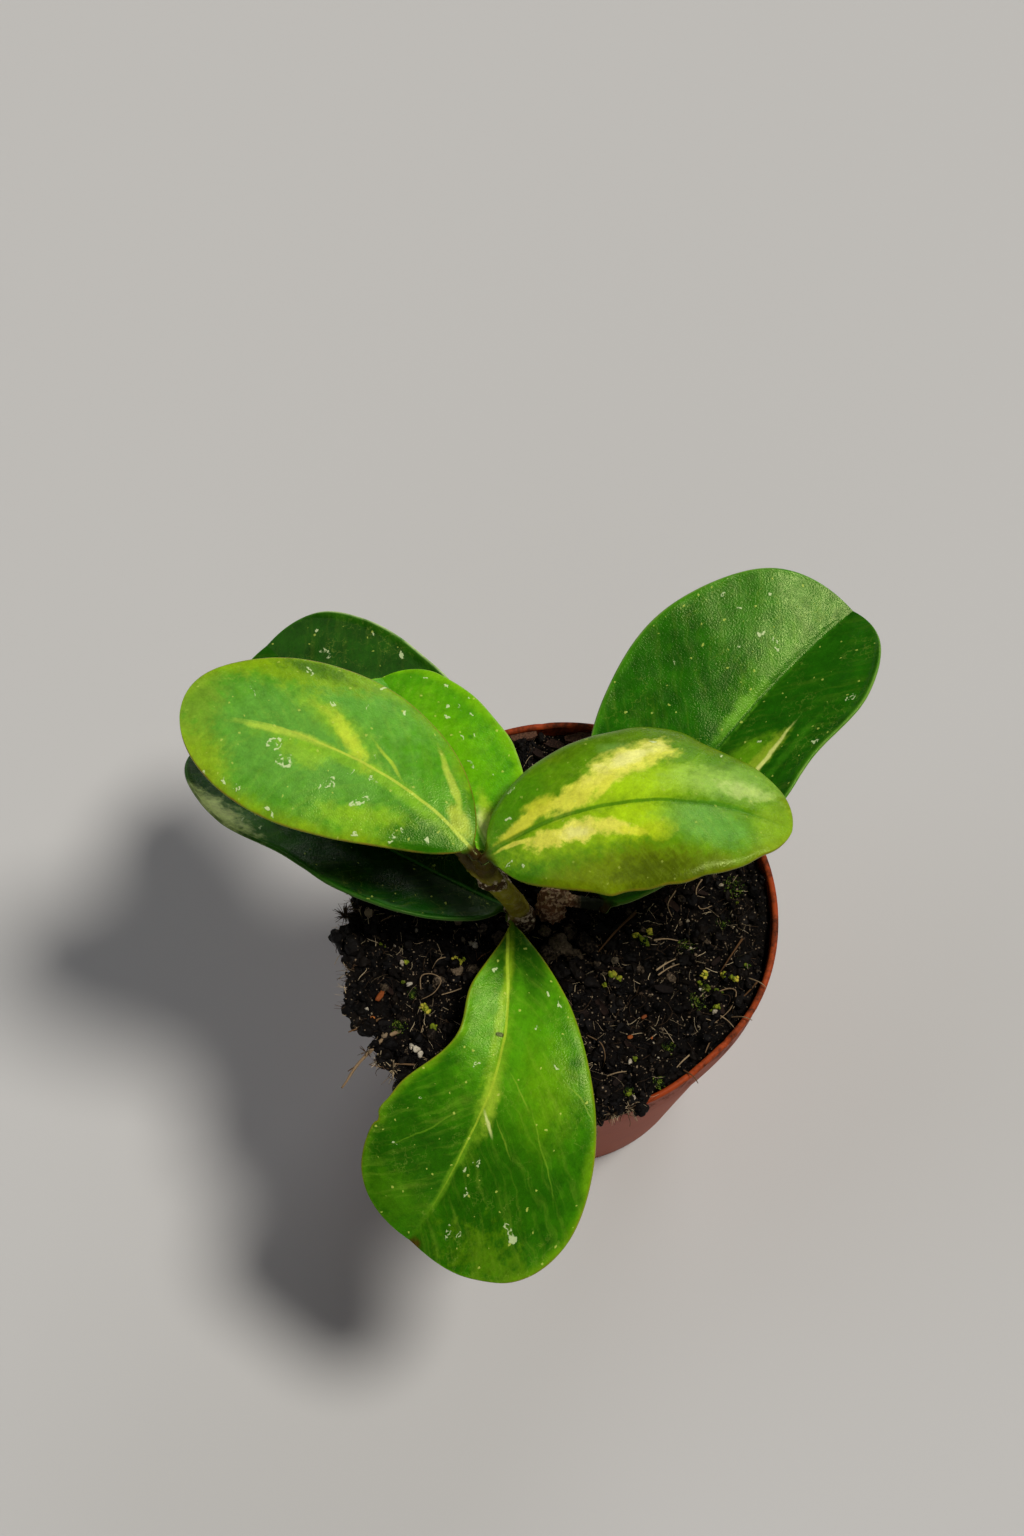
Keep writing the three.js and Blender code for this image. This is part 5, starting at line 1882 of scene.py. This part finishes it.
# Things on the mix, where the photograph has them: places in millimetres, then radius and tone.
ALGAE_GRAINS = (
    (15, -4.2, 1.2, 0.75), (17.7, -3.5, 1.15, 0.95), (16.1, -5.2, 0.8, 0.5), (17.3, -6.4, 0.7, 0.35),
    (9.6, -13.5, 1.5, 0.85), (11, -14.6, 1, 0.7), (8.1, -15.8, 0.8, 0.6), (28.9, -13.5, 1.3, 0.9),
    (28, -15.2, 0.8, 0.5), (29.6, -16, 0.9, 0.35), (33.4, -13.1, 1.2, 0.85), (34.7, -14, 0.8, 0.6),
    (35.6, -14.4, 1, 0.95), (31.5, -16.4, 0.8, 0.35), (32.6, -16.8, 0.6, 0.3), (31.4, -20.1, 1, 0.7),
    (30.4, -20.9, 0.6, 0.5), (14.1, -32.2, 0.7, 0.4), (12.4, -40.4, 1, 0.5), (12.9, -39.4, 0.6, 0.3),
    (-29.4, -21.9, 1.3, 1), (-28.8, -23.2, 0.9, 0.95), (-23.2, -11.2, 1, 0.9), (-22.3, -11.9, 0.8, 0.8),
    (-21.4, -11, 0.6, 0.7), (-38.7, -7.4, 0.5, 0.3), (-37.9, -7.9, 0.4, 0.3), (-34, -16.4, 0.6, 0.3),
    (-27.3, -26.6, 1.1, 0.6), (-33.4, -11.9, 0.9, 0.6), (36.5, 2.8, 0.5, 0.6), (37.6, -10.9, 0.7, 0.35),
)
PALE_GRAINS = (
    (10.2, -10.4, 1.2, 0.25), (31, -21.5, 0.9, 0.8), (13, -32.9, 0.7, 0.9), (13.4, -41.5, 0.7, 0.8),
    (25.9, -1, 0.45, 0.6), (33.3, 7.1, 0.6, 0.7), (-34.3, -12.2, 0.7, 0.8), (-35.9, -13.9, 0.9, 0.75),
    (-32.6, -17.1, 0.75, 0.95), (-31.3, -4.7, 0.55, 0.7), (-19, -7.5, 0.75, 0.9), (-20, -7, 0.65, 0.8),
    (-21.6, -6.2, 0.6, 0.3), (-35.8, -8.2, 0.4, 0.8), (-30.9, -31.5, 0.9, 1), (-30.1, -32.3, 0.8, 1),
    (-31.9, -30.9, 0.6, 0.9), (-46, -7.1, 0.6, 0.6), (-45, -6.7, 0.5, 0.7), (-44.4, -7.5, 0.6, 0.55),
    (-43.5, -7.3, 0.45, 0.6), (-45.4, -7.9, 0.4, 0.6), (-41.9, -21.7, 0.9, 0.95), (-41.3, -22.8, 0.5, 0.9),
    (24.6, -24.5, 0.3, 0.9), (16.6, -27.6, 0.35, 0.7), (18, -28.6, 0.3, 0.8), (19.2, -19.8, 0.3, 0.9),
)
CLODS = (
    (-1.2, -6.2, 1.9, 0.8), (1.6, -8.8, 1.7, 0.72), (-3.6, -9.6, 1.6, 0.66), (4.6, -6.6, 1.8, 0.6),
    (2.4, -12.6, 1.5, 0.5), (7.2, -3.2, 1.6, 0.25), (-4.6, -4.4, 1.5, 0.8), (5.4, -15.6, 1.6, 0.22),
    (-14, -6, 1.4, 0.7), (1, -3.8, 1.4, 0.7), (9.8, -7.4, 1.3, 0.2), (-1.4, -13.4, 1.3, 0.25),
    (-24.6, -27, 1.7, 0.3), (-22.8, -28.4, 1.3, 0.25), (-44.6, -8.4, 1.9, 0.15), (-45.8, -5.6, 1.4, 0.2),
    (-42.4, -22.6, 1.6, 0.2), (-41, -26.4, 1.5, 0.15), (-39.4, -30.4, 1.7, 0.12), (-37, -33.4, 1.6, 0.15),
)
# Places and sizes in millimetres, turn in degrees, tone.
BARK_CHIPS = (
    (-8.6, 42.2, 5.6, 2.6, 12, 0.8), (-2.4, 40.2, 5, 2.2, -20, 0.6), (3.4, 41.8, 6.2, 2.4, 8, 0.75),
    (9, 42, 4.4, 2, -8, 0.7), (-12.4, 39.8, 3.6, 1.8, 40, 0.5), (6, 38.6, 3.4, 1.8, 24, 0.4),
    (-5.6, 38, 3.2, 1.6, -36, 0.35),
)
DRY_SCRAPS = (
    (-38.6, -20, 2.4, 1.2, 64, 0.45), (16.1, -22.9, 1.2, 0.7, 30, 0.35), (13.2, -27.5, 1, 0.7, 10, 0.6),
    (-40.1, -24.6, 0.9, 0.7, 0, 0.9), (17.5, -27.9, 0.6, 0.4, 40, 0.7), (-43.6, -10.8, 2.6, 1.4, 80, 0.55),
)
# Tufts of short roots: place, reach, count and tone.
TUFTS = (
    (-46.4, -1.7, 80.2, 2.7, 60, 0.35), (-43.9, 0.6, 80, 2.1, 40, 0.4), (-38.4, -33.6, 80.2, 2.4, 36, 0.8),
    (-35.6, -35.4, 80, 2.2, 30, 0.9), (-41.2, -31.6, 80, 2, 26, 0.6), (-44.9, -12.8, 80, 1.8, 24, 0.5),
    (-42.6, -26, 80.2, 1.8, 22, 0.7), (9, -44.6, 79.6, 2.2, 40, 0.7), (12.6, -43.4, 79.4, 1.8, 26, 0.8),
)
# Points in millimetres; a height under 10 counts from the mix's surface. Then radius and tone.
TWIGS = (
    (((14.9, 0.8, 0.9), (10.6, -4.1, 1.1), (6.4, -8.9, 0.5)), 0.42, 0.6),
    (((37.2, -5.4, 0.7), (34.7, -9.4, 1), (32.3, -12.6, 0.7)), 0.3, 0.5),
    (((18.6, -5.5, 0.6), (21.2, -5.2, 0.7), (23.8, -5.3, 0.5)), 0.26, 0.95),
    (((18.9, -12.4, 0.5), (21.1, -10.7, 0.7), (23.4, -9.6, 0.5)), 0.26, 1),
    (((19.3, -13.4, 0.5), (21.7, -11.6, 0.7), (24, -10.8, 0.5)), 0.22, 0.95),
    (((39.9, -15.3, 1.2), (37.3, -18, 0.9), (34.2, -20.3, 0.5)), 0.26, 0.5),
    (((30.6, -17.3, 0.3), (33.9, -16.3, 0.9), (35.5, -17.5, 0.9), (34.2, -20.9, 0.8), (31.5, -23.3, 0.6),
      (29.4, -24.9, 0.2)), 0.2, 0.8),
    (((32, -22.2, 0.4), (33.6, -23.6, 0.9), (35.2, -25.7, 0.9)), 0.18, 1),
    (((25.6, -30.5, 0.9), (23.8, -32.5, 1.1), (22.2, -34.4, 0.6)), 0.24, 1),
    (((8.2, -35.9, 0.5), (10.2, -35.5, 0.7), (12.2, -35, 0.5)), 0.22, 0.95),
    (((4.2, -27, 0.3), (6.9, -29.4, 0.8), (7.8, -32.1, 0.8), (7.4, -34.1, 0.2)), 0.2, 0.7),
    (((25.3, -22.7, 0.4), (28.2, -22.8, 0.8), (31.4, -23.8, 0.4)), 0.16, 1),
    (((29.6, -28.4, 0.3), (29, -29.8, 1.2), (28.5, -31.1, 1.8)), 0.2, 0.7),
    (((23.6, 5.8, 0.3), (21.7, 2.1, 0.8), (22.6, -0.5, 0.3)), 0.18, 0.9),
    (((29.2, 8.3, 0.4), (27.9, 5.8, 0.8), (28.6, 2.1, 0.8), (31.2, 2.7, 0.4)), 0.18, 0.9),
    (((-20.8, -17.6, 0.4), (-23.3, -18.3, 0.8), (-25.9, -19.2, 0.4)), 0.24, 0.95),
    (((-30.2, -18.1, 0.2), (-30.2, -15.2, 0.8), (-27.9, -14.7, 1), (-26, -16.2, 1), (-27.4, -18.9, 0.8),
      (-30.1, -20.3, 0.3)), 0.17, 0.85),
    (((-30.7, -30, 0.5), (-30, -28.1, 0.8), (-29.6, -26.1, 0.3)), 0.15, 1),
    (((-24.9, -10.7, 0.3), (-26.7, -12.2, 0.8), (-27.9, -13.4, 0.3)), 0.16, 0.9),
    (((-31, -34.6, 0.3), (-35.8, -34.3, 0.9), (-38.3, -35, 0.5), (-40.6, -34.3, 80)), 0.24, 0.7),
    (((-39.4, -31.1, 0.3), (-37.3, -33.1, 0.8), (-35, -35.5, 0.3)), 0.2, 0.85),
    (((-34, -26.6, 79.4), (-37.4, -28.8, 80.4), (-39.8, -31, 80.3), (-43, -34.5, 80.1),
      (-45.2, -37.8, 79.2), (-46.1, -38.9, 78.6)), 0.62, 0.85),
    (((-43, -34.5, 80), (-44.9, -35.6, 79.4)), 0.24, 0.5),
    (((-38.4, -24.4, 79.6), (-40.4, -25.4, 80.4), (-42.4, -26.4, 80.5), (-45, -27.4, 80.1)), 0.42, 0.65),
    (((34.2, -22.6, 0.8), (36.6, -23.6, 78.8), (38.4, -24.2, 78.4)), 0.22, 0.8),
    (((38.4, -14.6, 0.9), (40.2, -16, 78.9), (41.6, -17, 78.5)), 0.2, 0.9),
    (((24, -34.6, 0.8), (25.8, -36.4, 78.7), (26.8, -37.8, 78.3)), 0.2, 0.6),
)
MOSS_TUFTS = (
    (36.2, 6.9, 2.6, 150), (25.6, -6.6, 2.2, 110), (27.5, -18.9, 2, 110), (37.5, -10.3, 1.6, 80),
    (21.1, -29, 1.5, 70), (19, -37.8, 1.6, 60), (-34.7, -26, 2, 110), (-31.8, -18.8, 1.2, 60),
    (28.7, -15.7, 1.2, 60), (33.5, -1, 1.6, 50), (16.6, -5.4, 1.2, 50), (12.6, -39.6, 1.2, 50),
)

STEMS = (
    Bark("main_stem", "main_stem_bark", Slot.STEM, limb=(
        (-14.2, -1.8, 98), (-17.4, -0.9, 102.4), (-20.4, 0.7, 106.2), (-22.2, 2.6, 109.4)), warts=(
        (-6.6, -3.2, 85.2, 1.2, 0.8), (-8.4, -4.9, 83.2, 1.3, 0.8), (-6.6, -4.2, 82.2, 1.1, 0.7),
        (-10.8, -4.6, 83.6, 1.1, 0.7), (-6.2, -1.6, 87.6, 0.9, 0.7), (-13, -2.8, 98.9, 1.1, 0.5),
        (-14.6, -4.2, 101.2, 0.8, 0.55), (-16.4, -4.3, 100, 0.7, 0.5), (-17.4, -3.6, 101.4, 0.8, 0.5),
        (-15.8, -3.9, 102.8, 0.7, 0.5), (-13.4, -2.2, 102.2, 0.8, 0.5))),
    # On the woody stub the pale flecks are painted glints.
    Bark("woody_stub", "woody_stub_bark", Slot.WOOD, rounds=4, wrinkle=0.45, wrinkle_mm=0.9, knobs=1.1,
         knob_mm=2.1, green_from=120, node_at=130, brown="#7a5230", pale="#c8a680", petiole="#1a1e08",
         # The petiole colour past x = 1.2 mm is near black: painted shade under the leaf above.
         petiole_from=(0, 1.2),
         warts=((-4.9, -1.6, 85.2, 1.2, 0.4), (-1.6, -1.9, 84.2, 1.1, 0.4), (-3.4, -2, 82.6, 1.2, 0.35))),
)


@dataclass(frozen=True)
class Studio:
    """A pale floor, a soft light above at the right, weak fills from all round, and the camera."""

    camera_at: tuple[float, float, float] = (-0.0113, -0.2025, 0.5799)
    camera_tilt: float = 25.2
    lens: float = 60.0
    sensor: float = 36.0
    glow: float = 0.06
    glow_seen: float = 0.56
    floor_reach: float = 30.0
    # Name, direction from the plant, spread in degrees, watts per square metre and colour.
    lights: tuple[tuple[str, tuple[float, float, float], float, float, str], ...] = (
        ("window", (0.45, 0.045, 0.89), 16, 2.8, "#fffaf2"),
        ("sky", (0.3, 0.8, 0.52), 26, 0.55, "#fafaff"),
        ("back", (0.163, 0.985, 0.045), 9, 0.1, "#f4f9ff"),
        ("side", (-0.62, 0.15, 0.75), 39, 0.34, "#fafaff"),
        ("front", (-0.1, -0.9, 0.5), 44, 0.17, "#f6f8ff"),
    )

    def shine(self, name: str, direction: tuple[float, float, float], spread: float, strength: float,
              colour: str) -> None:
        """Shine one broad light from far away, so that plant and floor get it evenly.

        Args:
            name: Its name.
            direction: From the plant to the light.
            spread: How wide it looks from the plant, in degrees; a wider one is softer.
            strength: Its strength in watts per square metre.
            colour: Its colour.
        """
        light = bpy.data.lights.new(name, "SUN")
        light.angle, light.energy, light.color = math.radians(spread), strength, linear(colour)[:3]
        lamp = placed(name, light)
        lamp.location = direction
        lamp.rotation_euler = Vector(direction).to_track_quat("Z", "Y").to_euler()

    def build(self) -> None:
        """Make the camera, the lights and the floor."""
        camera = bpy.data.cameras.new("camera")
        camera.lens, camera.sensor_width, camera.clip_start = self.lens, self.sensor, 0.01
        rig = placed("camera", camera)
        rig.location = self.camera_at
        rig.rotation_euler = (math.radians(self.camera_tilt), 0, 0)
        bpy.context.scene.camera = rig
        for row in self.lights:
            self.shine(*row)
        world = bpy.data.worlds.new("studio")
        nodes = Nodes(world)
        # The surrounding lights the plant little, and looks as pale as the floor where it is seen.
        seen = nodes.add("LightPath")
        strength = nodes.add("MapRange", (seen, 0.0, 1.0, self.glow, self.glow_seen))
        glow = nodes.add("Background", {"Color": linear("#eeeeee"), "Strength": strength})
        nodes.add("OutputWorld", {"Surface": glow})
        bpy.context.scene.world = world
        bpy.context.scene.view_settings.view_transform = "Standard"
        bm = bmesh.new()
        bmesh.ops.create_grid(bm, x_segments=1, y_segments=1, size=self.floor_reach)
        floor = placed("floor", as_mesh("floor", bm))
        # A plain matt studio floor.
        nodes = Nodes(bpy.data.materials.new("pale_floor"))
        shader = nodes.add("BsdfPrincipled", {"Base Color": linear("#b9b9b8"), "Roughness": 0.85})
        nodes.add("OutputMaterial", {"Surface": shader})
        floor.data.materials.append(nodes.owner)


def main() -> None:
    """Build the plant, its pot and the studio, and report each piece."""
    logging.basicConfig(level=logging.INFO, format="%(message)s")
    Studio().build()
    for blade in BLADES:
        blade.build()
    for stem in STEMS:
        stem.build()
    POT.build()
    MIX.build_surface()
    Litter().build()


if __name__ == "__main__":
    main()
